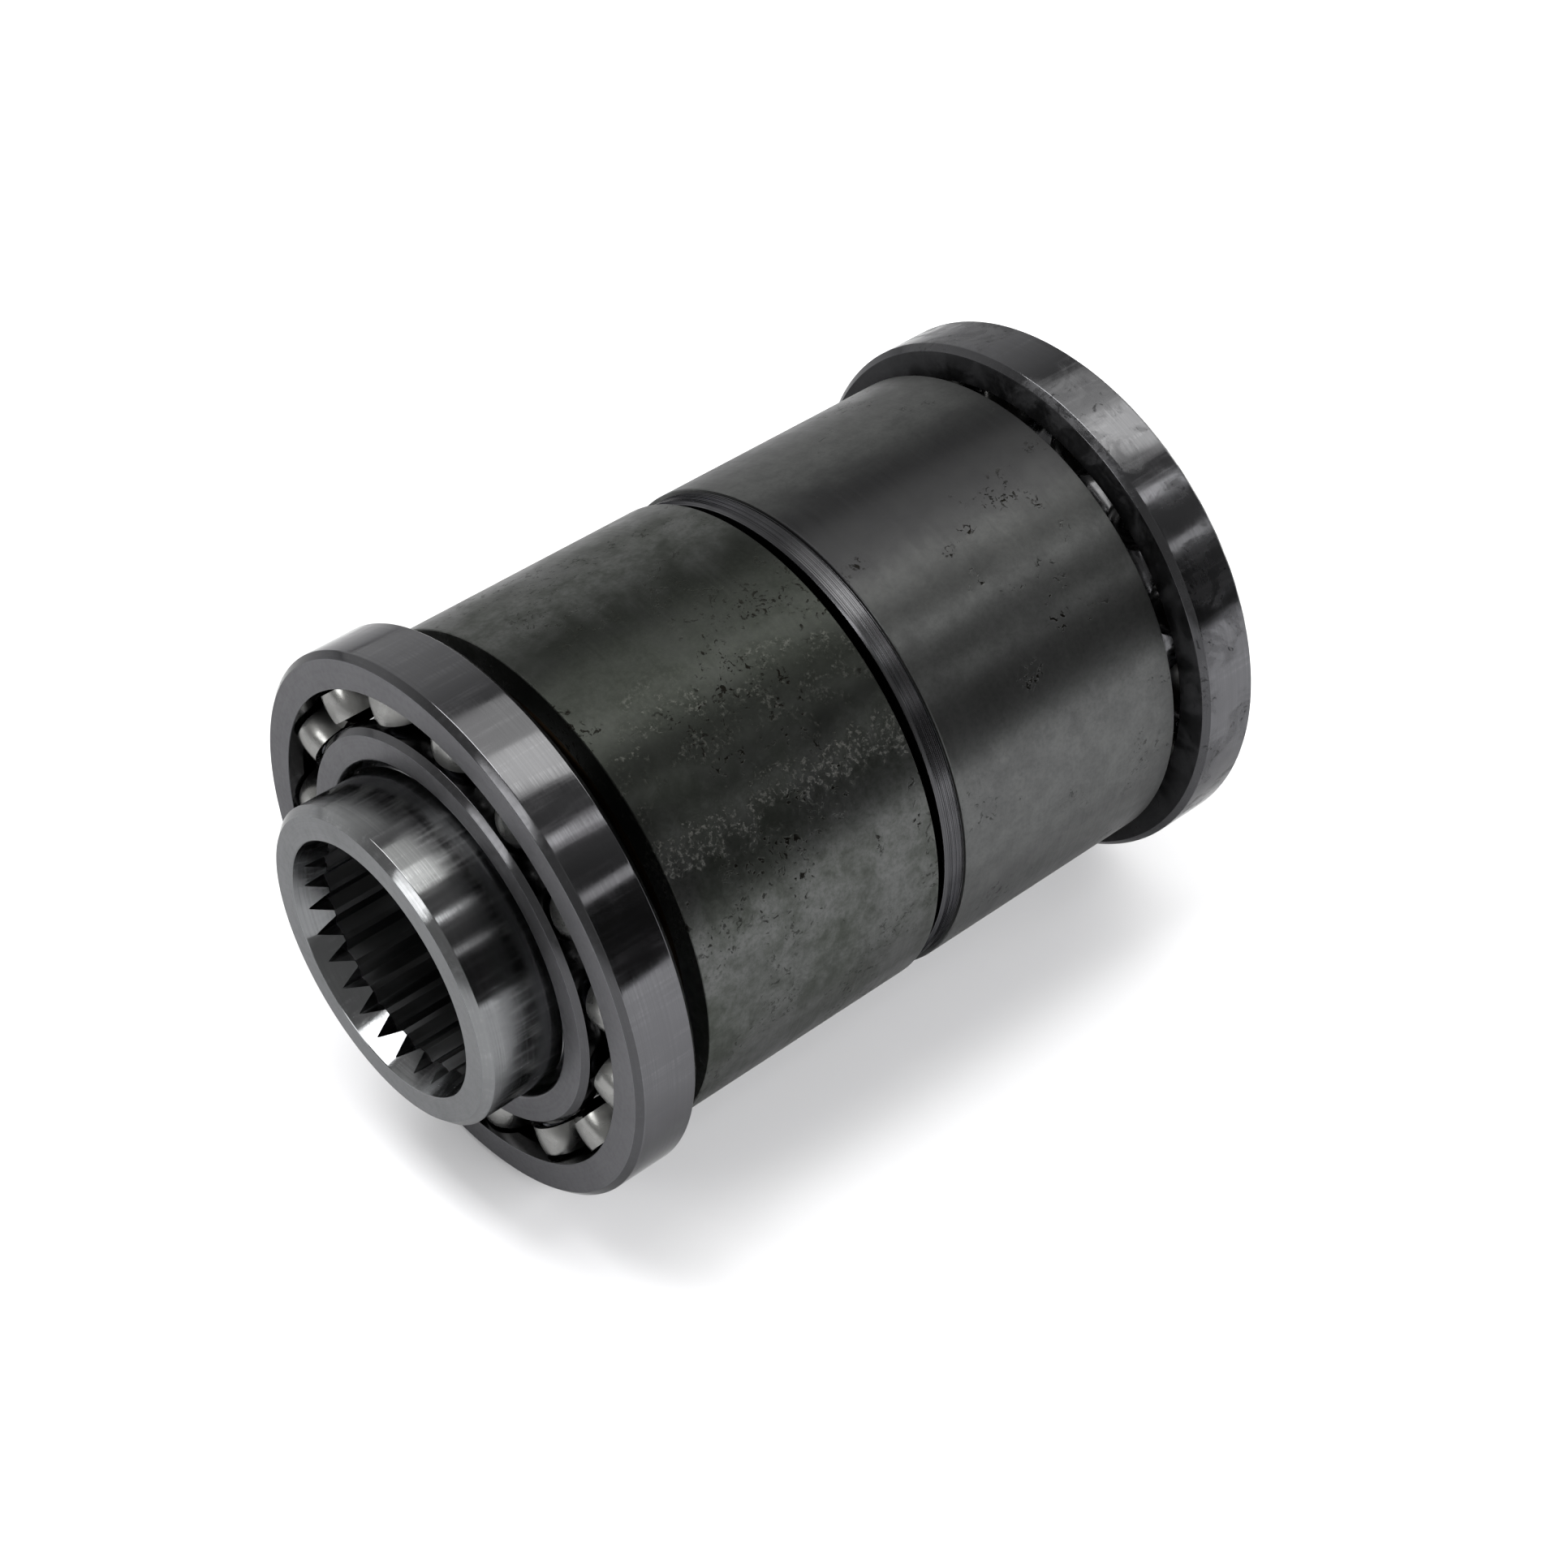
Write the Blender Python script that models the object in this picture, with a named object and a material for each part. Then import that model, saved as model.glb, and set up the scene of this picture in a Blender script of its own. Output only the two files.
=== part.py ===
"""Twin one-way clutch cartridge: a splined hub with two sprag clutches between two open ball bearings.

The shaft axis is X, the splined mouth of the hub faces -X and +Z is up.
The origin is on the axis, halfway along the hub. All values are in metres.
"""
import math

import bmesh
import bpy

MM = 0.001
TAU = 2 * math.pi

# Gap kept between pieces that touch on the real object.
FIT_GAP = 0.3 * MM

# Flat segments around every turned piece.
RING_SEGMENTS = 36

# Internal spline of the hub.
SPLINE_TEETH = 28
SPLINE_ROOT_RADIUS = 20.6 * MM
SPLINE_TOOTH_DEPTH = 1.1 * MM
SPLINE_TIP_LAND = 1.0 * MM
SPLINE_MOUTH_STEP = 0.5 * MM
SPLINE_LEAD_SLOPE = 0.313
SPLINE_TURN = math.radians(2.0)

# Hub around the spline. The race stands above the bearing bore.
HUB_FRONT_BOSS_LENGTH = 12.1 * MM
HUB_REAR_BOSS_LENGTH = 9.3 * MM
HUB_BOSS_WALL = 5.65 * MM
HUB_BOSS_CHAMFER = 1.2 * MM
HUB_SEAT_LEAD = 0.8 * MM
HUB_RACE_STEP = 2.5 * MM

# Ball bearings, both alike. The section is from bore to outside.
BEARING_BORE_STEP = 1.25 * MM
BEARING_SECTION = 17.5 * MM
BEARING_WIDTH = 11.0 * MM
RING_CHAMFER = 1.0 * MM
INNER_RING_BORE_CHAMFER = 0.8 * MM
INNER_RING_LAND_CHAMFER = 0.9 * MM
BALL_RADIUS = 3.969 * MM
BALL_SPACING = 1.88
OUTER_GROOVE_DEPTH = 1.32 * MM
INNER_GROOVE_DEPTH = 0.82 * MM
FRONT_BALL_TURN = math.radians(3.0)
REAR_BALL_TURN = math.radians(15.0)

# Pressed ball cage: two halves held together by rivets, which are one piece with the inboard half.
CAGE_THICKNESS = 0.7 * MM
CAGE_LAND_GAP = 0.8 * MM
CAGE_POCKET_GAP = 0.33 * MM
CAGE_POCKET_FOOT = 0.98 * MM
CAGE_POCKET_CROWN = 0.55
RIVET_SHANK_HALF = 0.45 * MM
RIVET_HOLE_HALF = 0.8 * MM
RIVET_HEAD_HALF = 1.15 * MM
RIVET_HEAD_HEIGHT = 0.5 * MM

# Sprag clutches, both alike.
SLEEVE_WALL = 5.25 * MM
SLEEVE_LENGTH = 44.4 * MM
SLEEVE_CHAMFER = 0.6 * MM
SPRAG_SPACE = 6.0 * MM
FRONT_SLEEVE_GAP = 4.9 * MM
REAR_SLEEVE_GAP = 3.3 * MM
END_BEARING_WIDTH = 6.0 * MM
END_BEARING_RECESS = 0.8 * MM
SPRAG_COUNT = 16
SPRAG_TILT = math.radians(8)
SPRAG_END_RIM = 2.8 * MM
SPRAG_CAGE_OFFSET = 0.6 * MM
SPRAG_CAGE_THICKNESS = 1.0 * MM
SPRAG_SPRING_OFFSET = -0.5 * MM
SPRAG_SPRING_THICKNESS = 0.3 * MM
SPRAG_WINDOW_GAP = 0.45 * MM

# Spacer ring between the two sleeves, and the thrust spacers at the bearings.
MIDDLE_RING_RECESS = 0.65 * MM
MIDDLE_RING_WIDTH = 3.2 * MM
MIDDLE_RING_GAP = 2.1 * MM
MIDDLE_RING_CHAMFER = 0.3 * MM
THRUST_SPACER_DEPTH = 3.4 * MM

# Places along the axis. The sleeve starts are measured from the front face of the front bearing.
FRONT_SLEEVE_START = BEARING_WIDTH + FRONT_SLEEVE_GAP
REAR_SLEEVE_START = FRONT_SLEEVE_START + SLEEVE_LENGTH + MIDDLE_RING_GAP + MIDDLE_RING_WIDTH + FIT_GAP
BEARING_SPACING = REAR_SLEEVE_START + SLEEVE_LENGTH + REAR_SLEEVE_GAP
HUB_LENGTH = HUB_FRONT_BOSS_LENGTH + BEARING_SPACING + BEARING_WIDTH + HUB_REAR_BOSS_LENGTH
HUB_FRONT = -HUB_LENGTH / 2
HUB_REAR = HUB_LENGTH / 2
STACK_START = HUB_FRONT + HUB_FRONT_BOSS_LENGTH
REAR_BEARING_START = STACK_START + BEARING_SPACING

# Sizes that follow from the ones above, from the spline outwards.
SPLINE_TIP_RADIUS = SPLINE_ROOT_RADIUS - SPLINE_TOOTH_DEPTH
HUB_BOSS_RADIUS = SPLINE_ROOT_RADIUS + HUB_BOSS_WALL
BEARING_BORE_RADIUS = HUB_BOSS_RADIUS + BEARING_BORE_STEP
BEARING_OUTER_RADIUS = BEARING_BORE_RADIUS + BEARING_SECTION
PITCH_RADIUS = (BEARING_BORE_RADIUS + BEARING_OUTER_RADIUS) / 2
BALL_COUNT = int(TAU * PITCH_RADIUS / (2 * BALL_RADIUS * BALL_SPACING))
GROOVE_RADIUS = BALL_RADIUS + FIT_GAP
OUTER_LAND_RADIUS = PITCH_RADIUS + GROOVE_RADIUS - OUTER_GROOVE_DEPTH
INNER_LAND_RADIUS = PITCH_RADIUS - GROOVE_RADIUS + INNER_GROOVE_DEPTH
CAGE_HALF_WIDTH = OUTER_LAND_RADIUS - PITCH_RADIUS - CAGE_LAND_GAP
HUB_SEAT_RADIUS = BEARING_BORE_RADIUS - FIT_GAP
HUB_RACE_RADIUS = BEARING_BORE_RADIUS + HUB_RACE_STEP
SLEEVE_BORE_RADIUS = HUB_RACE_RADIUS + SPRAG_SPACE
SLEEVE_OUTER_RADIUS = SLEEVE_BORE_RADIUS + SLEEVE_WALL
MIDDLE_RING_RADIUS = SLEEVE_OUTER_RADIUS - MIDDLE_RING_RECESS
SPRAG_MIDDLE_RADIUS = HUB_RACE_RADIUS + SPRAG_SPACE / 2
SPRAG_SET_LENGTH = SLEEVE_LENGTH - 2 * (END_BEARING_RECESS + END_BEARING_WIDTH + FIT_GAP)
THRUST_SPACER_RADIUS = HUB_RACE_RADIUS + THRUST_SPACER_DEPTH


def clear_scene():
    """Remove the objects that Blender starts with."""
    for existing in list(bpy.data.objects):
        bpy.data.objects.remove(existing, do_unlink=True)


def metal(name, color, roughness):
    """A bare metal material with its own colour and roughness."""
    made = bpy.data.materials.new(name)
    made.use_nodes = True
    shader = made.node_tree.nodes["Principled BSDF"]
    shader.inputs["Base Color"].default_value = (*color, 1)
    shader.inputs["Metallic"].default_value = 1
    shader.inputs["Roughness"].default_value = roughness
    return made


def axis_point(name, x):
    """An empty on the shaft axis, on which the pieces that turn together are placed."""
    empty = bpy.data.objects.new(name, None)
    empty.location = (x, 0, 0)
    bpy.context.collection.objects.link(empty)
    return empty


def finish_piece(name, mesh_data, parent, color=(0.6, 0.6, 0.6), roughness=0.3):
    """Turn a bmesh into a closed, smooth-shaded object parented to an axis empty."""
    bmesh.ops.remove_doubles(mesh_data, verts=mesh_data.verts, dist=1e-7)
    bmesh.ops.recalc_face_normals(mesh_data, faces=mesh_data.faces)
    mesh = bpy.data.meshes.new(name)
    mesh_data.to_mesh(mesh)
    mesh_data.free()
    mesh.shade_smooth()
    mesh.set_sharp_from_angle(angle=math.radians(30))
    mesh.materials.append(metal(name, color, roughness))
    piece = bpy.data.objects.new(name, mesh)
    piece.parent = parent
    bpy.context.collection.objects.link(piece)
    return piece


def around(x, radius, angle):
    """A point at an angle from +Z towards -Y around the shaft axis."""
    return (x, -radius * math.sin(angle), radius * math.cos(angle))


def beside(x, radial, tangential, angle):
    """A point given by its radial and tangential distance at an angle around the shaft axis."""
    return (
        x,
        -radial * math.sin(angle) - tangential * math.cos(angle),
        radial * math.cos(angle) - tangential * math.sin(angle),
    )


def segment_angles(count=RING_SEGMENTS):
    """Corner angles of a turned piece, with a flat at the bottom."""
    return [TAU * (index + 0.5) / count for index in range(count)]


def loft(bm, loops, closed):
    """Join vertex loops of equal length with quads, back to the first loop if closed."""
    pairs = list(zip(loops, loops[1:]))
    if closed:
        pairs.append((loops[-1], loops[0]))
    for first, second in pairs:
        for index in range(len(first)):
            following = (index + 1) % len(first)
            bm.faces.new((first[index], first[following], second[following], second[index]))


def turned_piece(name, profile, parent, color=(0.6, 0.6, 0.6), roughness=0.3):
    """Turn a closed profile of (x, radius) points around the shaft axis."""
    bm = bmesh.new()
    angles = segment_angles()
    loops = [[bm.verts.new(around(x, radius, angle)) for angle in angles] for x, radius in profile]
    loft(bm, loops, closed=True)
    return finish_piece(name, bm, parent, color, roughness)


def plain_ring(name, start, end, inner, outer, parent, color, roughness):
    """A turned ring of square section."""
    profile = [(start, inner), (end, inner), (end, outer), (start, outer)]
    return turned_piece(name, profile, parent, color, roughness)


def groove_profile(outwards, depth):
    """Points of a ball groove cut into a land, from -X to +X, centred on x = 0."""
    reach = math.acos((GROOVE_RADIUS - depth) / GROOVE_RADIUS)
    points = []
    for share in (-1, -1 / 3, 1 / 3, 1):
        angle = reach * share
        radius = PITCH_RADIUS + outwards * GROOVE_RADIUS * math.cos(angle)
        points.append((GROOVE_RADIUS * math.sin(angle), radius))
    return points


def bearing_rings(prefix, hub_axis, outer_axis):
    """Inner and outer ring of one ball bearing, centred on x = 0."""
    half = BEARING_WIDTH / 2
    outer = [
        (-half, OUTER_LAND_RADIUS),
        *groove_profile(1, OUTER_GROOVE_DEPTH),
        (half, OUTER_LAND_RADIUS),
        (half, BEARING_OUTER_RADIUS - RING_CHAMFER),
        (half - RING_CHAMFER, BEARING_OUTER_RADIUS),
        (-half + RING_CHAMFER, BEARING_OUTER_RADIUS),
        (-half, BEARING_OUTER_RADIUS - RING_CHAMFER),
    ]
    turned_piece(prefix + "_bearing_outer_ring", outer, outer_axis, (0.62, 0.62, 0.64), 0.22)
    bore_edge = BEARING_BORE_RADIUS + INNER_RING_BORE_CHAMFER
    land_edge = INNER_LAND_RADIUS - INNER_RING_LAND_CHAMFER
    inner = [
        (-half, land_edge),
        (-half + INNER_RING_LAND_CHAMFER, INNER_LAND_RADIUS),
        *groove_profile(-1, INNER_GROOVE_DEPTH),
        (half - INNER_RING_LAND_CHAMFER, INNER_LAND_RADIUS),
        (half, land_edge),
        (half, bore_edge),
        (half - INNER_RING_BORE_CHAMFER, BEARING_BORE_RADIUS),
        (-half + INNER_RING_BORE_CHAMFER, BEARING_BORE_RADIUS),
        (-half, bore_edge),
    ]
    turned_piece(prefix + "_bearing_inner_ring", inner, hub_axis, (0.6, 0.6, 0.62), 0.25)


def bearing_balls(prefix, axis, turn):
    """The balls of one bearing, one object each."""
    for index in range(BALL_COUNT):
        angle = turn + TAU * index / BALL_COUNT
        bm = bmesh.new()
        bmesh.ops.create_icosphere(bm, subdivisions=2, radius=BALL_RADIUS)
        name = f"{prefix}_ball_{index + 1:02d}"
        ball = finish_piece(name, bm, axis, (0.75, 0.75, 0.77), 0.08)
        ball.location = around(0, PITCH_RADIUS, angle)


def cage_sections():
    """Half of a cage pocket: (tangential, axial) of the ball side and the outer side, foot then crown."""
    foot = (BALL_RADIUS + CAGE_POCKET_FOOT, FIT_GAP / 2)
    crown = (BALL_RADIUS * CAGE_POCKET_CROWN, BALL_RADIUS + CAGE_POCKET_GAP)
    slope = math.atan2(crown[1] - foot[1], foot[0] - crown[0])
    shift = CAGE_THICKNESS * math.tan(slope / 2)
    foot_outside = (foot[0] + shift, foot[1] + CAGE_THICKNESS)
    crown_outside = (crown[0] + shift, crown[1] + CAGE_THICKNESS)
    return (foot, foot_outside), (crown, crown_outside)


def square_rim(bm, x, half, angle):
    """Four corners of a square around the point between two balls, at one height along the axis."""
    corners = ((-half, -half), (half, -half), (half, half), (-half, half))
    return [bm.verts.new(beside(x, PITCH_RADIUS + radial, across, angle)) for radial, across in corners]


def cage_flat(bm, first, second, side, angle, has_rivet):
    """The flat between two pockets, with a rivet hole through it or a headed rivet standing on it."""
    bm.faces.new((first[1], first[2], second[2], second[1]))
    bm.faces.new((first[3], first[0], second[0], second[3]))
    under = FIT_GAP / 2
    over = under + CAGE_THICKNESS
    under_corners = [first[0], first[1], second[1], second[0]]
    over_corners = [first[3], first[2], second[2], second[3]]
    if not has_rivet:
        under_rim = square_rim(bm, side * under, RIVET_HOLE_HALF, angle)
        over_rim = square_rim(bm, side * over, RIVET_HOLE_HALF, angle)
        loft(bm, [under_corners, under_rim, over_rim, over_corners], closed=False)
        return
    near_head = [
        square_rim(bm, side * over, RIVET_HEAD_HALF, angle),
        square_rim(bm, side * (over + RIVET_HEAD_HEIGHT), RIVET_HEAD_HALF, angle),
    ]
    loft(bm, [over_corners, *near_head], closed=False)
    bm.faces.new(near_head[-1])
    seat = over + FIT_GAP
    stud = [
        square_rim(bm, side * under, RIVET_SHANK_HALF, angle),
        square_rim(bm, -side * seat, RIVET_SHANK_HALF, angle),
        square_rim(bm, -side * seat, RIVET_HEAD_HALF, angle),
        square_rim(bm, -side * (seat + RIVET_HEAD_HEIGHT), RIVET_HEAD_HALF, angle),
    ]
    loft(bm, [under_corners, *stud], closed=False)
    bm.faces.new(stud[-1])


def bearing_cage_half(name, side, axis, turn, has_rivets):
    """One half of the pressed cage: flats between arches that pass over the balls."""
    bm = bmesh.new()
    foot, crown = cage_sections()
    rows = (PITCH_RADIUS - CAGE_HALF_WIDTH, PITCH_RADIUS + CAGE_HALF_WIDTH)
    stations = []
    for index in range(BALL_COUNT):
        angle = turn + TAU * index / BALL_COUNT
        for (inside, outside), direction in ((foot, -1), (crown, -1), (crown, 1), (foot, 1)):
            corners = ((inside, rows[0]), (inside, rows[1]), (outside, rows[1]), (outside, rows[0]))
            stations.append([
                bm.verts.new(beside(side * point[1], row, direction * point[0], angle))
                for point, row in corners
            ])
    for index, first in enumerate(stations):
        second = stations[(index + 1) % len(stations)]
        if index % 4 < 3:
            loft(bm, [first, second], closed=False)
        else:
            angle = turn + TAU * (index // 4 + 0.5) / BALL_COUNT
            cage_flat(bm, first, second, side, angle, has_rivets)
    finish_piece(name, bm, axis, (0.7, 0.69, 0.67), 0.3)


def ball_bearing(prefix, start, turn, outboard):
    """All pieces of one ball bearing whose front face is at start."""
    centre = start + BEARING_WIDTH / 2
    hub_axis = axis_point(prefix + "_inner_ring_axis", centre)
    outer_axis = axis_point(prefix + "_outer_ring_axis", centre)
    ball_axis = axis_point(prefix + "_ball_set_axis", centre)
    bearing_rings(prefix, hub_axis, outer_axis)
    bearing_balls(prefix, ball_axis, turn)
    bearing_cage_half(prefix + "_cage_outboard_half", outboard, ball_axis, turn, has_rivets=False)
    bearing_cage_half(prefix + "_cage_inboard_half", -outboard, ball_axis, turn, has_rivets=True)


def spline_points():
    """(radius, angle) of the bore's corners: a narrow land on each tooth and a V-shaped space between."""
    points = []
    land = SPLINE_TIP_LAND / SPLINE_TIP_RADIUS / 2
    for index in range(SPLINE_TEETH):
        space = SPLINE_TURN + TAU * index / SPLINE_TEETH
        tooth = space + TAU / SPLINE_TEETH / 2
        points.append((SPLINE_ROOT_RADIUS, space))
        points.append((SPLINE_TIP_RADIUS, tooth - land))
        points.append((SPLINE_TIP_RADIUS, tooth + land))
    return points


def splined_hub():
    """The hub: boss, bearing seats and clutch race outside, spline with lead-in cones inside."""
    bm = bmesh.new()
    axis = axis_point("hub_axis", 0)
    front_shoulder = STACK_START + BEARING_WIDTH + FIT_GAP
    rear_shoulder = REAR_BEARING_START - FIT_GAP
    seat_rise = HUB_SEAT_RADIUS - HUB_BOSS_RADIUS
    rear_seat_end = REAR_BEARING_START + BEARING_WIDTH - HUB_SEAT_LEAD
    profile = [
        (HUB_FRONT, HUB_BOSS_RADIUS - HUB_BOSS_CHAMFER),
        (HUB_FRONT + HUB_BOSS_CHAMFER, HUB_BOSS_RADIUS),
        (STACK_START + HUB_SEAT_LEAD - seat_rise, HUB_BOSS_RADIUS),
        (STACK_START + HUB_SEAT_LEAD, HUB_SEAT_RADIUS),
        (front_shoulder, HUB_SEAT_RADIUS),
        (front_shoulder, HUB_RACE_RADIUS),
        (rear_shoulder, HUB_RACE_RADIUS),
        (rear_shoulder, HUB_SEAT_RADIUS),
        (rear_seat_end, HUB_SEAT_RADIUS),
        (rear_seat_end + seat_rise, HUB_BOSS_RADIUS),
        (HUB_REAR - HUB_BOSS_CHAMFER, HUB_BOSS_RADIUS),
        (HUB_REAR, HUB_BOSS_RADIUS - HUB_BOSS_CHAMFER),
    ]
    angles = segment_angles()
    outside = [[bm.verts.new(around(x, radius, angle)) for angle in angles] for x, radius in profile]
    loft(bm, outside, closed=False)
    mouth = SPLINE_ROOT_RADIUS + SPLINE_MOUTH_STEP
    teeth = spline_points()
    bore = [
        [bm.verts.new(around(HUB_FRONT, mouth, angle)) for radius, angle in teeth],
        [bm.verts.new(around(HUB_FRONT + (mouth - radius) / SPLINE_LEAD_SLOPE, radius, angle))
         for radius, angle in teeth],
        [bm.verts.new(around(HUB_REAR - (mouth - radius) / SPLINE_LEAD_SLOPE, radius, angle))
         for radius, angle in teeth],
        [bm.verts.new(around(HUB_REAR, mouth, angle)) for radius, angle in teeth],
    ]
    loft(bm, bore, closed=False)
    for end in (HUB_FRONT, HUB_REAR):
        rims = [edge for edge in bm.edges if edge.is_boundary and abs(edge.verts[0].co.x - end) < 1e-6]
        bmesh.ops.triangle_fill(bm, edges=rims, use_beauty=True)
    finish_piece("splined_hub", bm, axis, (0.6, 0.6, 0.62), 0.18)


def sprag_outline():
    """Corners of one sprag as (tangential, radial) from its middle: two cams joined by a waist."""
    height = SPRAG_SPACE / 2 - FIT_GAP
    corners = (
        (-0.56, -0.81),
        (0.0, -0.99),
        (0.63, -0.81),
        (0.37, 0.0),
        (0.56, 0.81),
        (0.0, 0.99),
        (-0.63, 0.81),
        (-0.37, 0.0),
    )
    turned = []
    for across, up in corners:
        turned.append((
            height * (across * math.cos(SPRAG_TILT) + up * math.sin(SPRAG_TILT)),
            height * (up * math.cos(SPRAG_TILT) - across * math.sin(SPRAG_TILT)),
        ))
    return turned


def sprag_reach(low, high):
    """How far a sprag reaches sideways between two radial offsets from its middle."""
    outline = sprag_outline()
    reach = 0
    for (across, up), (next_across, next_up) in zip(outline, outline[1:] + outline[:1]):
        for level in (low, high, up, next_up):
            if not low <= level <= high or up == next_up:
                continue
            share = (level - up) / (next_up - up)
            if 0 <= share <= 1:
                reach = max(reach, abs(across + share * (next_across - across)))
    return reach


def sprag_crossings(level):
    """Where a sprag's outline passes a radial offset from its middle, from left to right."""
    outline = sprag_outline()
    crossings = []
    for (across, up), (next_across, next_up) in zip(outline, outline[1:] + outline[:1]):
        if (up - level) * (next_up - level) < 0:
            share = (level - up) / (next_up - up)
            crossings.append((across + share * (next_across - across), level))
    return sorted(crossings)


def sprag_set(prefix, axis):
    """The sprags of one clutch and the cage ring that they pass through, as one solid."""
    bm = bmesh.new()
    half = SPRAG_SET_LENGTH / 2 - SPRAG_END_RIM - FIT_GAP
    outline = sprag_outline()
    cage_top = SPRAG_CAGE_OFFSET + SPRAG_CAGE_THICKNESS
    top_left, top_right = sprag_crossings(cage_top)
    low_left, low_right = sprag_crossings(SPRAG_CAGE_OFFSET)
    upper = sorted(corner for corner in outline if corner[1] > cage_top)
    lower = sorted(corner for corner in outline if corner[1] < SPRAG_CAGE_OFFSET)
    outer_side = [top_left, *upper, top_right]
    waist = [corner for corner in lower if corner[1] > SPRAG_SPRING_OFFSET]
    foot = [corner for corner in lower if corner[1] <= SPRAG_SPRING_OFFSET]
    inner_side = [low_left, *waist[:1], *foot, *waist[1:], low_right]
    for side in (outer_side, inner_side):
        loops = []
        for x in (-half, half):
            loops.append([
                bm.verts.new(beside(x, SPRAG_MIDDLE_RADIUS + up, -across, TAU * index / SPRAG_COUNT))
                for index in range(SPRAG_COUNT)
                for across, up in reversed(side)
            ])
        loft(bm, loops, closed=False)
    for end in (-half, half):
        rims = [edge for edge in bm.edges if edge.is_boundary and abs(edge.verts[0].co.x - end) < 1e-6]
        bmesh.ops.triangle_fill(bm, edges=rims, use_beauty=True)
    finish_piece(prefix + "_sprag_set", bm, axis, (0.55, 0.55, 0.56), 0.25)


def sprag_spring(prefix, axis):
    """The ribbon spring that turns the sprags into contact: a thin ring with a window for each sprag."""
    bm = bmesh.new()
    radii = (SPRAG_MIDDLE_RADIUS + SPRAG_SPRING_OFFSET - SPRAG_SPRING_THICKNESS,
             SPRAG_MIDDLE_RADIUS + SPRAG_SPRING_OFFSET)
    reach = sprag_reach(SPRAG_SPRING_OFFSET - SPRAG_SPRING_THICKNESS, SPRAG_SPRING_OFFSET)
    opening = (reach + SPRAG_WINDOW_GAP) / radii[0]
    end = SPRAG_SET_LENGTH / 2
    levels = (-end, -end + SPRAG_END_RIM, end - SPRAG_END_RIM, end)
    columns = []
    for index in range(SPRAG_COUNT):
        middle = TAU * index / SPRAG_COUNT
        for angle in (middle - opening, middle + opening):
            columns.append([
                [bm.verts.new(around(x, radius, angle)) for radius in radii]
                for x in levels
            ])
    for index, first in enumerate(columns):
        second = columns[(index + 1) % len(columns)]
        is_window = index % 2 == 0
        walls = (0, 1, 2, 3) if is_window else (0, 3)
        for level in walls:
            bm.faces.new((first[level][0], first[level][1], second[level][1], second[level][0]))
        for level in range(3):
            if is_window and level == 1:
                continue
            for side in (0, 1):
                bm.faces.new((
                    first[level][side],
                    first[level + 1][side],
                    second[level + 1][side],
                    second[level][side],
                ))
        if is_window:
            for column in (first, second):
                bm.faces.new((column[1][0], column[1][1], column[2][1], column[2][0]))
    finish_piece(prefix + "_sprag_spring", bm, axis, (0.5, 0.5, 0.52), 0.3)


def sprag_clutch(prefix, start):
    """All pieces of one clutch whose sleeve starts at start along the stack."""
    half = SLEEVE_LENGTH / 2
    axis = axis_point(prefix + "_clutch_axis", STACK_START + start + half)
    sleeve = [
        (-half, SLEEVE_BORE_RADIUS),
        (half, SLEEVE_BORE_RADIUS),
        (half, SLEEVE_OUTER_RADIUS - SLEEVE_CHAMFER),
        (half - SLEEVE_CHAMFER, SLEEVE_OUTER_RADIUS),
        (-half + SLEEVE_CHAMFER, SLEEVE_OUTER_RADIUS),
        (-half, SLEEVE_OUTER_RADIUS - SLEEVE_CHAMFER),
    ]
    turned_piece(prefix + "_clutch_sleeve", sleeve, axis, (0.52, 0.51, 0.48), 0.24)
    sprag_set(prefix, axis)
    sprag_spring(prefix, axis)
    near = half - END_BEARING_RECESS
    far = near - END_BEARING_WIDTH
    inner = HUB_RACE_RADIUS + FIT_GAP
    outer = SLEEVE_BORE_RADIUS - FIT_GAP
    bronze = (0.62, 0.42, 0.22)
    plain_ring(prefix + "_clutch_front_bush", -near, -far, inner, outer, axis, bronze, 0.4)
    plain_ring(prefix + "_clutch_rear_bush", far, near, inner, outer, axis, bronze, 0.4)


def spacer_rings():
    """Rings held on the hub: one between the sleeves and one beside each ball bearing."""
    axis = axis_point("spacer_axis", 0)
    inner = HUB_RACE_RADIUS + FIT_GAP
    end = STACK_START + REAR_SLEEVE_START - FIT_GAP
    start = end - MIDDLE_RING_WIDTH
    middle = [
        (start, inner),
        (end, inner),
        (end, MIDDLE_RING_RADIUS - MIDDLE_RING_CHAMFER),
        (end - MIDDLE_RING_CHAMFER, MIDDLE_RING_RADIUS),
        (start + MIDDLE_RING_CHAMFER, MIDDLE_RING_RADIUS),
        (start, MIDDLE_RING_RADIUS - MIDDLE_RING_CHAMFER),
    ]
    turned_piece("middle_spacer_ring", middle, axis, (0.4, 0.4, 0.41), 0.35)
    steel = (0.5, 0.5, 0.5)
    bush_step = END_BEARING_RECESS - FIT_GAP
    plain_ring(
        "front_thrust_spacer", STACK_START + BEARING_WIDTH + FIT_GAP,
        STACK_START + FRONT_SLEEVE_START + bush_step, inner, THRUST_SPACER_RADIUS, axis, steel, 0.35,
    )
    plain_ring(
        "rear_thrust_spacer", STACK_START + REAR_SLEEVE_START + SLEEVE_LENGTH - bush_step,
        REAR_BEARING_START - FIT_GAP, inner, THRUST_SPACER_RADIUS, axis, steel, 0.35,
    )


def main():
    clear_scene()
    splined_hub()
    spacer_rings()
    ball_bearing("front", STACK_START, FRONT_BALL_TURN, -1)
    ball_bearing("rear", REAR_BEARING_START, REAR_BALL_TURN, 1)
    sprag_clutch("front", FRONT_SLEEVE_START)
    sprag_clutch("rear", REAR_SLEEVE_START)


main()
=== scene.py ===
"""Looks of the splined one-way clutch cartridge: fine surfaces, ground and stained steels, studio stage."""
import math

import bmesh
import bpy
from mathutils import Euler, Matrix, Vector


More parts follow.
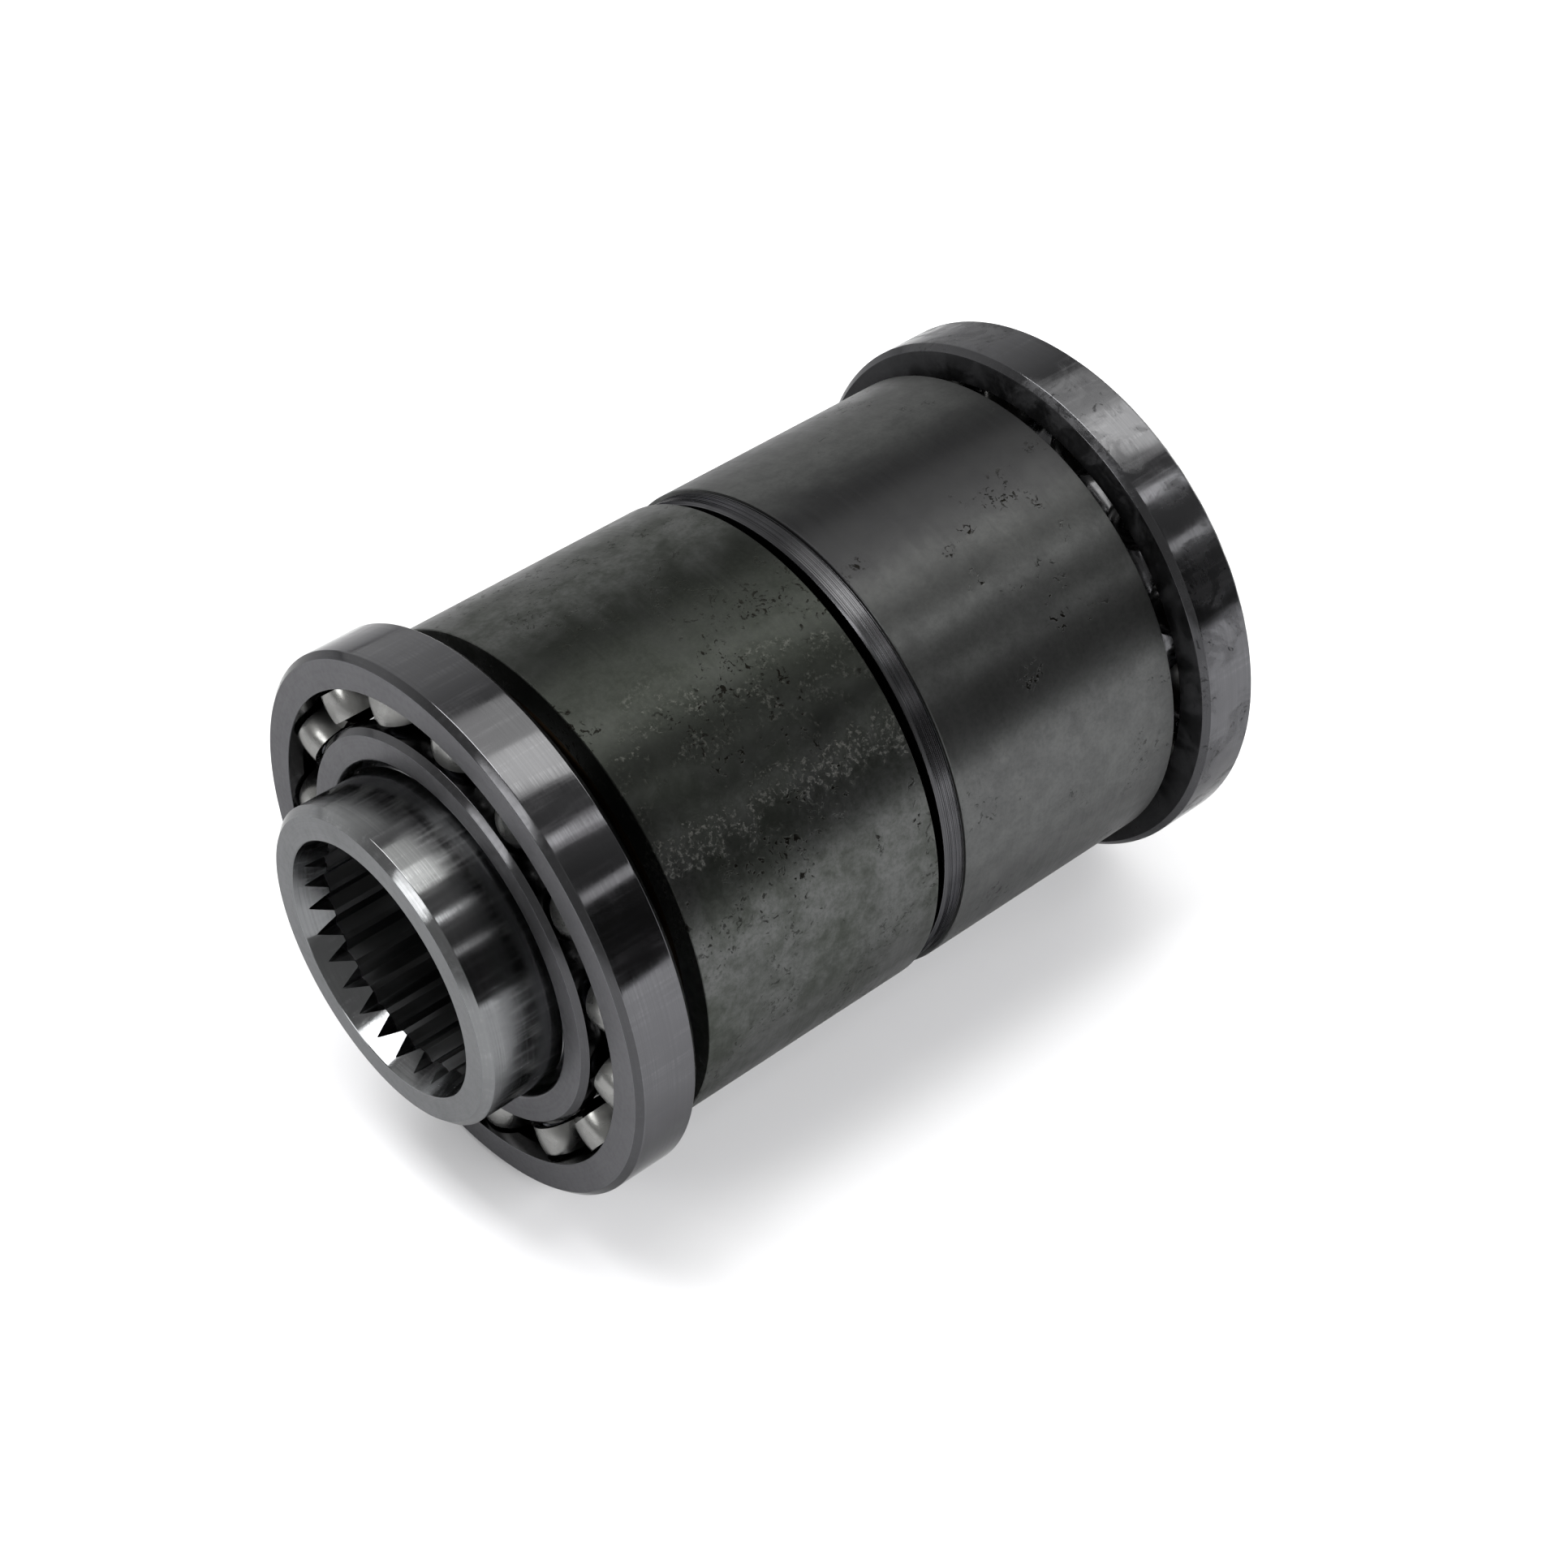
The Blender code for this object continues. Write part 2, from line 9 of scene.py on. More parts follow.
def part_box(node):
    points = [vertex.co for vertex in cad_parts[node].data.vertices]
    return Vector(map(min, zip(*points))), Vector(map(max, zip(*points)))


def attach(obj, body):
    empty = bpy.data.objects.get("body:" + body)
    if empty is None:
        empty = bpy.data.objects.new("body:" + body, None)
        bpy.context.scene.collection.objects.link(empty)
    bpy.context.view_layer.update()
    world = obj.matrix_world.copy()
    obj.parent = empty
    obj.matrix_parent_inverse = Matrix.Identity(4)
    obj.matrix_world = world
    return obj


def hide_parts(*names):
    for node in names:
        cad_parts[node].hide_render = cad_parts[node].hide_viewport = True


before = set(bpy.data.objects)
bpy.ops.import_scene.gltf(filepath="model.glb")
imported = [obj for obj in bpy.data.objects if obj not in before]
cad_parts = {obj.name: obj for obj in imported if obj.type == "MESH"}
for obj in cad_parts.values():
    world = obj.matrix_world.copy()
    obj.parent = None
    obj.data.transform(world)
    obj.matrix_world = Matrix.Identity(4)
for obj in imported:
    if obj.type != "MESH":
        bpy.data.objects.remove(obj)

bl_info = {
    "name": "Splined clutch cartridge",
    "version": (1, 0, 0),
    "blender": (4, 5, 0),
    "location": "3D Viewport > Sidebar > Cartridge",
    "description": "Builds the fine surfaces, steels and stage of a splined one-way clutch cartridge",
    "category": "Object",
}

MM = 0.001
TAU = 2 * math.pi
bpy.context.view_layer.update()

# Corners around a turned CAD node, whose flats lie a little inside the true circle.
CAD_SEGMENTS = 36
# Steps around a fine turned piece, a multiple of the spline's steps per tooth.
FINE_SEGMENTS = 336


def true_radius(node):
    """Radius of the circle through the corners of a turned CAD node."""
    low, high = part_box(node)
    return (high.z - low.z) / 2 / math.cos(math.pi / CAD_SEGMENTS)


def x_span(node):
    """Where a CAD node starts and ends along the shaft."""
    low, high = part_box(node)
    return low.x, high.x


def ball_centres(side):
    """Centres of one bearing's balls, from the CAD balls."""
    centres = []
    for name in sorted(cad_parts):
        if name.startswith(side + "_ball_"):
            low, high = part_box(name)
            centres.append((name, (low + high) / 2))
    return centres


def ball_turn(side):
    """Angle of a bearing's first ball, from +Z towards -Y."""
    centre = ball_centres(side)[0][1]
    return math.atan2(-centre.y, centre.z)


PITCH_CENTRE = ball_centres("front")[0][1]
PITCH_RADIUS = math.hypot(PITCH_CENTRE.y, PITCH_CENTRE.z)
BALL_COUNT = len(ball_centres("front"))
SPRAG_COUNT = 16
# Turn of the spline's first tooth space from +Z.
SPLINE_TURN = math.radians(2.0)
# Room between the hub's race and what runs on it, and between its shoulders and the bearings.
RUNNING_GAP = 0.3 * MM
# Height of the middle of the sprags above the race.
SPRAG_MIDDLE = 3.0 * MM
# Half the gap between the two halves of a ball cage.
CAGE_SPLIT = 0.03 * MM
# Start of the seats under the inner rings, in from each bearing's outboard face.
SEAT_INSET = 1.2 * MM
# Depth at which the spline has left its lead-in cone.
LEAD_DEPTH = 5.5 * MM


# ---- sizes and colours


def number(name, description, default, **options):
    """A plain number property."""
    return bpy.props.FloatProperty(name=name, description=description, default=default, **options)


def length(name, description, default):
    """A length property in metres."""
    return number(name, description, default, unit="LENGTH", precision=5)


def tint(name, description, hex_value):
    """A colour property with an sRGB hex default."""
    return bpy.props.FloatVectorProperty(
        name=name, description=description, default=linear(hex_value)[:3], subtype="COLOR", min=0, max=1,
    )


def linear(hex_value):
    """sRGB hex colour as linear RGBA."""
    channels = []
    for shift in (16, 8, 0):
        value = (hex_value >> shift & 255) / 255
        channels.append(value / 12.92 if value <= 0.04045 else ((value + 0.055) / 1.055) ** 2.4)
    return (*channels, 1.0)


class HubSizes(bpy.types.PropertyGroup):
    """Sizes of the splined hub."""

    boss_radius: length("Boss radius", "Outside of the bosses at both ends", 26.25 * MM)
    boss_chamfer: length("Boss chamfer", "Chamfer on the end of each boss", 1.2 * MM)
    seat_radius: length("Seat radius", "Seats under the bearings' inner rings", 27.42 * MM)
    race_radius: length("Race radius", "Race that the sprags grip", true_radius("splined_hub"))
    teeth: bpy.props.IntProperty(name="Teeth", description="Teeth of the internal spline", default=28, min=6)
    root_radius: length("Root radius", "Bottom of the tooth spaces", 20.6 * MM)
    tip_radius: length("Tip radius", "Lands on the teeth", 19.5 * MM)
    mouth_step: length("Mouth step", "Mouth of the lead-in cone beyond the roots", 0.5 * MM)
    lead_slope: number("Lead slope", "Radius lost per length of cone", 0.313)


class BearingSizes(bpy.types.PropertyGroup):
    """Sizes of the two ball bearings."""

    outer_radius: length("Outer radius", "Outside of the outer ring", true_radius("front_bearing_outer_ring"))
    bore_radius: length("Bore radius", "Bore of the inner ring", 27.5 * MM)
    corner: length("Corner", "Chamfer on the outer ring's corners", 1.0 * MM)
    outer_land: length("Outer land", "Bore of the outer ring beside the groove", 39.2 * MM)
    inner_land: length("Inner land", "Outside of the inner ring beside the groove", 32.8 * MM)
    land_chamfer: length("Land chamfer", "Chamfer between the inner ring's face and its land", 0.9 * MM)
    ball_radius: length("Ball radius", "Radius of each ball", 3.969 * MM)
    groove_gap: length("Groove gap", "Room between a ball and its groove", 0.08 * MM)
    cage_gap: length("Cage gap", "Room between a ball and its cage pocket", 0.14 * MM)
    cage_thickness: length("Cage thickness", "Sheet thickness of the cage", 0.7 * MM)
    cage_half_width: length("Cage half width", "Half the radial width of the cage", 2.3 * MM)
    rivet_radius: length("Rivet radius", "Radius of the rivet heads", 1.15 * MM)
    rivet_height: length("Rivet height", "Height of the rivet heads", 0.55 * MM)


class ClutchSizes(bpy.types.PropertyGroup):
    """Sizes of the sleeves, the ring between them and the sprags."""

    sleeve_radius: length("Sleeve radius", "Outside of the sleeves", true_radius("front_clutch_sleeve"))
    sleeve_bore: length("Sleeve bore", "Bore of the sleeves", 36.0 * MM)
    sleeve_corner: length("Sleeve corner", "Chamfer on the sleeves' outer corners", 0.15 * MM)
    ring_radius: length("Ring radius", "Outside of the middle ring", true_radius("middle_spacer_ring"))
    ring_grooves: bpy.props.IntProperty(
        name="Ring grooves", description="Tool lines on the ring", default=9, min=1,
    )
    ring_groove_depth: length("Groove depth", "Depth of each tool line", 0.07 * MM)
    sprag_height: length("Sprag height", "Height of a sprag between the two races", 5.6 * MM)


class SteelColours(bpy.types.PropertyGroup):
    """Colours of the steels and the bronze."""

    hub: tint("Hub steel", "Ground and polished hub", 0x6E6F70)
    ring: tint("Ring steel", "Ground bearing rings", 0x59595B)
    # Painted shade: the ball steel is painted far darker than lapped steel, for the shade between the rings.
    ball: tint("Ball steel", "Lapped balls", 0x3C3D40)
    cage: tint("Cage steel", "Pressed cage sheet", 0x80807E)
    sleeve: tint("Sleeve steel", "Ground sleeves where they are clean", 0x565756)
    stain: tint("Oil stain", "Varnished oil on the sleeves", 0x40433E)
    haze: tint("Oil haze", "Thin oil on the clean sleeve", 0x3E3D40)
    spacer: tint("Turned steel", "Ring between the sleeves and the spacers", 0x545456)
    sprag: tint("Sprag steel", "Sprags and ribbon springs", 0x77777A)
    # Painted shade, with oil: the bronze is painted dark for the bushes deep inside the sleeves.
    bronze: tint("Bronze", "Bushes inside the sleeves", 0x4A3A28)


class StageSettings(bpy.types.PropertyGroup):
    """Sizes and strengths of the floor, the lights and the camera."""

    floor_size: length("Floor size", "Length of the floor's sides", 4.4)
    camera_azimuth: number("Camera azimuth", "Turn about Z", math.radians(-41.16), subtype="ANGLE")
    camera_elevation: number("Camera elevation", "Height of the camera", math.radians(43.19), subtype="ANGLE")
    camera_lens: number("Lens", "Focal length in millimetres", 72.37)


class CartridgeSettings(bpy.types.PropertyGroup):
    """Everything that a user would change."""

    hub: bpy.props.PointerProperty(type=HubSizes)
    bearing: bpy.props.PointerProperty(type=BearingSizes)
    clutch: bpy.props.PointerProperty(type=ClutchSizes)
    colours: bpy.props.PointerProperty(type=SteelColours)
    stage: bpy.props.PointerProperty(type=StageSettings)


def settings():
    """The cartridge's settings on the scene."""
    return bpy.context.scene.clutch_cartridge


def colour_of(name):
    """One of the steel colours as RGBA."""
    return (*getattr(settings().colours, name), 1)


# ---- mesh tools


def around(x, radius, angle):
    """A point at an angle from +Z towards -Y around the shaft axis."""
    return Vector((x, -radius * math.sin(angle), radius * math.cos(angle)))


def beside(x, radial, tangential, angle):
    """A point given by its radial and tangential distance at an angle around the shaft axis."""
    return Vector((
        x,
        -radial * math.sin(angle) - tangential * math.cos(angle),
        radial * math.cos(angle) - tangential * math.sin(angle),
    ))


def rounded(corners, steps=5):
    """Profile points of (x, radius, fillet) corners, with an arc at each corner that has a fillet."""
    points = []
    for index, (x, radius, fillet) in enumerate(corners):
        here = Vector((x, radius))
        before = Vector(corners[index - 1][:2]) - here
        after = Vector(corners[(index + 1) % len(corners)][:2]) - here
        if not fillet:
            points.append(tuple(here))
            continue
        turn = before.angle(after)
        reach = min(fillet / math.tan(turn / 2), before.length * 0.49, after.length * 0.49)
        start = here + before.normalized() * reach
        end = here + after.normalized() * reach
        bisector = (before.normalized() + after.normalized()).normalized()
        centre = here + bisector * (reach / math.cos(turn / 2))
        first, last = start - centre, end - centre
        sweep = first.angle_signed(last)
        for step in range(steps + 1):
            angle = -sweep * step / steps
            points.append((
                centre.x + first.x * math.cos(angle) - first.y * math.sin(angle),
                centre.y + first.x * math.sin(angle) + first.y * math.cos(angle),
            ))
    return points


def loft(bm, loops, closed=False):
    """Join vertex loops of equal length with quads, back to the first loop if closed."""
    pairs = list(zip(loops, loops[1:]))
    if closed:
        pairs.append((loops[-1], loops[0]))
    for first, second in pairs:
        for index in range(len(first)):
            following = (index + 1) % len(first)
            bm.faces.new((first[index], first[following], second[following], second[index]))


def capped_loft(bm, sections):
    """Join sections, each a list of points, into one closed solid."""
    loops = [[bm.verts.new(point) for point in section] for section in sections]
    loft(bm, loops)
    bm.faces.new(loops[0])
    bm.faces.new(loops[-1])


def finish_mesh(name, bm, material, sharp_angle=32):
    """Turn a bmesh into a smooth-shaded object with its material."""
    bmesh.ops.recalc_face_normals(bm, faces=bm.faces)
    mesh = bpy.data.meshes.new(name)
    bm.to_mesh(mesh)
    bm.free()
    mesh.shade_smooth()
    mesh.set_sharp_from_angle(angle=math.radians(sharp_angle))
    mesh.materials.append(material)
    piece = bpy.data.objects.new(name, mesh)
    bpy.context.scene.collection.objects.link(piece)
    return piece


def lathe(name, profile, material, segments=FINE_SEGMENTS):
    """Turn a closed (x, radius) profile around the shaft axis."""
    bm = bmesh.new()
    angles = [TAU * index / segments for index in range(segments)]
    loops = [[bm.verts.new(around(x, radius, angle)) for angle in angles] for x, radius in profile]
    loft(bm, loops, closed=True)
    return finish_mesh(name, bm, material)


def place(piece, body, slot, *nodes):
    """Make a piece ride on a body and hide the CAD nodes it stands for."""
    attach(piece, body)
    if nodes:
        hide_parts(*nodes)
    return piece


# ---- materials


def add(tree, kind, inputs=None, **options):
    """Add a node with its options, and set or link its inputs."""
    node = tree.nodes.new(kind)
    for key, value in options.items():
        setattr(node, key, value)
    for key, value in (inputs or {}).items():
        socket = node.inputs[key]
        if isinstance(value, bpy.types.NodeSocket):
            tree.links.new(value, socket)
        else:
            socket.default_value = value
    return node


def new_material(name):
    """An empty material with its tree, shader and object coordinates."""
    material = bpy.data.materials.new(name)
    material.use_nodes = True
    tree = material.node_tree
    return material, tree, tree.nodes["Principled BSDF"], add(tree, "ShaderNodeTexCoord").outputs["Object"]


def new_steel(name):
    """A metal material with its tree, shader and object coordinates."""
    material, tree, shader, position = new_material(name)
    shader.inputs["Metallic"].default_value = 1.0
    shader.inputs["Specular Tint"].default_value = linear(0xC8C8C8)
    return material, tree, shader, position


def shaft_distances(position):
    """A point's place along the shaft, its vector across the shaft, and that vector's length."""
    tree = position.id_data
    split = add(tree, "ShaderNodeSeparateXYZ", {"Vector": position}).outputs
    across = add(tree, "ShaderNodeCombineXYZ", {"Y": split["Y"], "Z": split["Z"]}).outputs["Vector"]
    radius = add(tree, "ShaderNodeVectorMath", {"Vector": across}, operation="LENGTH").outputs["Value"]
    return split["X"], across, radius


def scaled(vector, scale):
    """A vector made longer or shorter."""
    made = add(vector.id_data, "ShaderNodeVectorMath", {0: vector, "Scale": scale}, operation="SCALE")
    return made.outputs["Vector"]


def turned_coordinates(position, spacing, wander=0.004):
    """Coordinates that change along the shaft and outwards but hardly around it, one unit per spacing."""
    tree = position.id_data
    along, across, radius = shaft_distances(position)
    rings = add(tree, "ShaderNodeCombineXYZ", {"X": along, "Y": radius}).outputs["Vector"]
    drift = scaled(across, wander)
    mixed = add(tree, "ShaderNodeVectorMath", {0: rings, 1: drift}, operation="ADD").outputs["Vector"]
    return scaled(mixed, 1 / spacing)


def noise(vector, scale, detail=3.0, roughness=0.5, distortion=0.0):
    """Noise value of a vector."""
    made = add(vector.id_data, "ShaderNodeTexNoise", {
        "Vector": vector, "Scale": scale, "Detail": detail, "Roughness": roughness, "Distortion": distortion,
    })
    return made.outputs["Fac"]


def remap(value, low, high, to_low=0.0, to_high=1.0, smooth=True):
    """A value moved from one range to another and held inside it."""
    made = add(
        value.id_data, "ShaderNodeMapRange",
        {"Value": value, "From Min": low, "From Max": high, "To Min": to_low, "To Max": to_high},
        interpolation_type="SMOOTHSTEP" if smooth else "LINEAR",
    )
    return made.outputs["Result"]


def combine(operation, first, second=0.5):
    """One Math node."""
    return add(first.id_data, "ShaderNodeMath", {0: first, 1: second}, operation=operation).outputs["Value"]


def times(first, second):
    """Product of two values."""
    return combine("MULTIPLY", first, second)


def plus(first, second):
    """Sum of two values."""
    return combine("ADD", first, second)


def mix_colour(factor, first, second):
    """Mix two colours by a factor."""
    return add(factor.id_data, "ShaderNodeMix", {0: factor, 6: first, 7: second}, data_type="RGBA").outputs[2]


def finish_surface(shader, colour, roughness, height, strength, distance, under=None):
    """Give a shader its colour, its roughness and a bump over the one under it."""
    tree = shader.id_data
    tree.links.new(colour, shader.inputs["Base Color"])
    tree.links.new(roughness, shader.inputs["Roughness"])
    inputs = {"Height": height, "Strength": strength, "Distance": distance}
    if under:
        inputs["Normal"] = under
    bump = add(tree, "ShaderNodeBump", inputs)
    tree.links.new(bump.outputs["Normal"], shader.inputs["Normal"])


def grind_around(shader, strength):
    """Spread reflections along the shaft, as grinding lines that run around it do."""
    tree = shader.id_data
    around_shaft = add(tree, "ShaderNodeTangent", direction_type="RADIAL", axis="X")
    tree.links.new(around_shaft.outputs["Tangent"], shader.inputs["Tangent"])
    shader.inputs["Anisotropic"].default_value = strength
    shader.inputs["Anisotropic Rotation"].default_value = 0.25


def cover(surface, mask, share, colour):
    """Lay a colour over a surface by a share of a mask."""
    return mix_colour(times(mask, share), surface, colour)


def shade(colour, share):
    """An RGBA colour made darker or lighter by a share."""
    return (*(min(1.0, channel * share) for channel in colour[:3]), 1.0)


def window(value, low, high, edge):
    """One between low and high, falling to zero over an edge outside them."""
    rise = remap(value, low - edge, low)
    return times(rise, remap(value, high + edge, high))


def ground_steel(
    name, colour, roughness, line_spacing, line_depth,
    bore_radius=0.0, bore_ends=(0.0, 0.0), shaded_side=0, smudge=0.0,
):
    """Ground hardened steel: fine wheel lines around the piece and a thin uneven oil film.

    The lines draw reflections out across the piece, the film makes them softer in patches,
    the end faces come duller from a coarser wheel and are painted paler as painted light, and surfaces that
    lean like chamfers are painted darker as painted shade.
    A broached bore is left matt between its ends and painted darker there, partly for oil and partly as
    painted shade deep in the bore;
    the face on the shaded side, -1 or 1 along the shaft, is painted almost black as painted shade.
    Smudges are dull patches of handled, slightly pitted steel.
    """
    material, tree, shader, position = new_steel(name)
    grind_around(shader, 0.75)
    rings = turned_coordinates(position, line_spacing)
    lines = noise(rings, 1.0, detail=4, roughness=0.65)
    film = noise(position, 1 / (9 * MM), detail=4, roughness=0.6, distortion=0.4)
    streaks = add(tree, "ShaderNodeMapping", {
        "Vector": position, "Scale": (1 / (16 * MM), 1 / (0.9 * MM), 1 / (0.9 * MM)),
    }).outputs["Vector"]
    wiped = noise(streaks, 1.0, detail=2)
    rough = remap(film, 0.35, 0.7, roughness - 0.03, roughness + 0.05)
    rough = plus(rough, remap(wiped, 0.4, 0.75, -0.02, 0.05))
    rough = plus(rough, remap(lines, 0.3, 0.7, -0.02, 0.03))
    normal = add(tree, "ShaderNodeSeparateXYZ", {
        "Vector": add(tree, "ShaderNodeTexCoord").outputs["Normal"],
    }).outputs["X"]
    facing = combine("ABSOLUTE", normal)
    face = remap(facing, 0.93, 0.99)
    rough = plus(rough, times(face, 0.26))
    clean = mix_colour(remap(film, 0.3, 0.75), shade(colour, 1.08), shade(colour, 0.9))
    clean = mix_colour(remap(wiped, 0.5, 0.75), clean, shade(colour, 1.3))
    lined = mix_colour(remap(lines, 0.3, 0.7), clean, shade(colour, 0.93))
    # Painted light: the end faces are painted paler than the rest of the piece.
    surface = mix_colour(face, lined, shade(colour, 1.12))
    if not bore_radius:
        # Painted shade: surfaces that lean like chamfers are painted darker.
        chamfer = window(facing, 0.62, 0.8, 0.08)
        surface = cover(surface, chamfer, 0.6, shade(colour, 0.3))
    if shaded_side:
        # Painted shade: the face turned towards the sleeves is painted almost black.
        darkening = remap(times(normal, shaded_side), 0.8, 0.95)
        surface = cover(surface, darkening, 0.85, shade(colour, 0.12))
    if smudge:
        handled = noise(position, 1 / (7 * MM), detail=5, roughness=0.62, distortion=0.9)
        dull = times(remap(handled, 0.45, 0.62), smudge)
        surface = cover(surface, dull, 0.5, shade(colour, 0.55))
        rough = plus(rough, times(dull, 0.16))
        specks = noise(position, 1 / (1.3 * MM), detail=3, roughness=0.6, distortion=1.0)
        pits = times(remap(specks, 0.6, 0.66), remap(handled, 0.5, 0.6))
        surface = cover(surface, pits, smudge, shade(colour, 0.25))
    if bore_radius:
        along, _, radius = shaft_distances(position)
        # Painted shade, partly oil: the spline bore is painted darker beyond its lead-in cones.
        deep = window(along, *bore_ends, 0.5 * MM)
        bore = times(deep, remap(radius, bore_radius + 0.4 * MM, bore_radius + 0.2 * MM))
        surface = mix_colour(bore, surface, shade(colour, 0.5))
        rough = plus(rough, times(bore, 0.2))
    waves = add(tree, "ShaderNodeBump", {
        "Height": noise(streaks, 0.16, detail=1), "Strength": 0.5, "Distance": 0.03 * MM,
    }).outputs["Normal"]
    finish_surface(shader, surface, rough, lines, 0.25, line_depth, waves)
    return material


def sleeve_steel(name, colour, stain_colour, wear, film_and_shade_angles, scuff_angle):
    """Ground hardened steel that has worked in oil: olive varnish, rust pits and bright scuffs.

    A band over one side of the sleeve, where the lamps' highlight falls, is darkened, partly by varnish and
    partly as painted shade; the pits are small dark dashes in broken chains, and the scuffs are crumbly
    bright specks along one line of contact. Wear is 0 when clean, 1 when worn.
    """
    material, tree, shader, position = new_steel(name)
    grind_around(shader, 0.7)
    rings = turned_coordinates(position, 0.35 * MM)
    lines = noise(rings, 1.0, detail=4, roughness=0.6)
    cloud = noise(position, 1 / (18 * MM), detail=4, roughness=0.6, distortion=0.8)
    mottle = noise(position, 1 / (3.5 * MM), detail=6, roughness=0.62, distortion=0.4)
    grain = noise(position, 1 / (0.7 * MM), detail=4, roughness=0.7)
    split = add(tree, "ShaderNodeSeparateXYZ", {"Vector": position}).outputs
    turn = combine("ARCTAN2", times(split["Y"], -1.0), split["Z"])
    waved = plus(turn, remap(cloud, 0.3, 0.7, -0.04 - 0.05 * wear, 0.04 + 0.05 * wear))

    # Varnish and painted shade: a dark band over one side, partly varnish and partly painted shade where the
    # highlight falls, with softer and finer varnish patches everywhere.
    film = window(waved, film_and_shade_angles[0], film_and_shade_angles[1], 0.36)
    patches = plus(times(cloud, 0.55), times(mottle, 0.45))
    olive = times(remap(patches, 0.36, 0.66), 0.15 + 0.75 * wear)
    clean = mix_colour(remap(mottle, 0.32, 0.68), shade(colour, 1.06), shade(colour, 0.94))
    darkening = mix_colour(remap(mottle, 0.35, 0.65), shade(stain_colour, 1.15), shade(stain_colour, 0.8))
    surface = mix_colour(olive, clean, darkening)
    # Painted shade, partly varnish: the band over one side is painted dark to hold down the lamps' highlight.
    surface = cover(surface, film, 0.8 + 0.05 * wear, shade(stain_colour, 0.25))
    grime = remap(grain, 0.35, 0.75, 0.0, 0.25 + 0.2 * wear)
    surface = mix_colour(grime, surface, shade(stain_colour, 0.6))

    # Rust pits: ragged dashes about 0.5 mm wide, in broken chains and clusters of about 8 mm.
    chains = noise(position, 1 / (4.5 * MM), detail=2, roughness=0.6, distortion=1.2)
    chain = window(chains, 0.47, 0.53, 0.05)
    dashes = noise(position, 1 / (1.1 * MM), detail=3, roughness=0.65, distortion=1.0)
    dash = remap(dashes, 0.55, 0.6)
    cluster = remap(noise(position, 1 / (11 * MM), detail=2, distortion=0.6),
                    0.58 - 0.1 * wear, 0.66 - 0.1 * wear)
    near_scuff = window(waved, scuff_angle - 0.5, scuff_angle + 0.2, 0.25)
    crowded = remap(near_scuff, 0.0, 1.0, 0.45, 1.0)
    pits = times(times(chain, dash),
                   times(cluster, crowded))
    surface = mix_colour(pits, surface, linear(0x161512))

    # Scuffs: specks of 0.4 mm along one line of contact, and a thinner patch beside it.
    line = window(plus(turn, remap(mottle, 0.3, 0.7, -0.07, 0.07)),
                  scuff_angle - 0.02, scuff_angle + 0.02, 0.07)
    patch = times(window(waved, scuff_angle - 0.42, scuff_angle - 0.2, 0.1),
                    remap(mottle, 0.48, 0.6))
    rubbed = combine("MAXIMUM", line, times(patch, 0.35))
    specks = times(rubbed, remap(grain, 0.48, 0.66))
    specks = times(specks, wear)
    surface = cover(surface, specks, 0.42, linear(0x8A8985))

    rough = plus(remap(patches, 0.35, 0.65, 0.33, 0.4), remap(lines, 0.3, 0.7, -0.02, 0.03))
    rough = plus(rough, times(pits, 0.3))
    height = combine("SUBTRACT", times(lines, 0.08), pits)
    height = plus(height, times(times(grain, specks), 1.1))
    height = plus(height, times(mottle, 0.25 * wear))
    finish_surface(shader, surface, rough, height, 0.8, 0.05 * MM)
    return material


def turned_steel(name, colour, feed):
    """Steel straight from the lathe: an even spiral of tool lines that glints in bands."""
    material, _, shader, position = new_steel(name)
    rings = turned_coordinates(position, feed, wander=0.0)
    lines = noise(rings, 1.0, detail=2)
    film = noise(position, 1 / (7 * MM), detail=4)
    dark = mix_colour(remap(film, 0.35, 0.7), shade(colour, 1.05), shade(colour, 0.8))
    # Painted shade: the tool lines are painted darker, for the shade in their grooves.
    surface = mix_colour(remap(lines, 0.45, 0.65), dark, shade(colour, 0.5))
    shader.inputs["Specular Tint"].default_value = linear(0x808080)
    finish_surface(shader, surface, remap(film, 0.3, 0.7, 0.18, 0.28), lines, 0.3, 0.006 * MM)
    return material


def lapped_steel(name, colour):
    """Lapped ball steel: a mirror with a thin film of oil that blurs it in places."""
    material, tree, shader, position = new_steel(name)
    film = noise(position, 1 / (2.5 * MM), detail=3, distortion=0.6)
    tree.links.new(remap(film, 0.35, 0.75, 0.08, 0.24), shader.inputs["Roughness"])
    tree.links.new(mix_colour(remap(film, 0.4, 0.7), colour, shade(colour, 0.8)),
                   shader.inputs["Base Color"])
    return material


def pressed_steel(name, colour):
    """Cold pressed bright steel sheet: slight rolling grain and drawing marks, duller in patches."""
    material, _, shader, position = new_steel(name)
    grain = noise(position, 1 / (0.5 * MM), detail=4, roughness=0.6)
    film = noise(position, 1 / (4 * MM), detail=3, distortion=0.5)
    surface = mix_colour(remap(film, 0.35, 0.7), colour, shade(colour, 0.72))
    finish_surface(shader, surface, remap(film, 0.3, 0.7, 0.2, 0.36), grain, 0.25, 0.02 * MM)
    return material


def bearing_bronze(name, colour):
    """Turned bearing bronze: warm, slightly dull, darkened in patches by oil; its dark colour is partly
    painted shade.
    """
    material, _, shader, position = new_steel(name)
    rings = turned_coordinates(position, 0.3 * MM)
    lines = noise(rings, 1.0, detail=2)
    film = noise(position, 1 / (6 * MM), detail=4)
    surface = mix_colour(remap(film, 0.3, 0.7), colour, shade(colour, 0.55))
    finish_surface(shader, surface, remap(lines, 0.3, 0.7, 0.32, 0.46), lines, 0.4, 0.01 * MM)
    return material


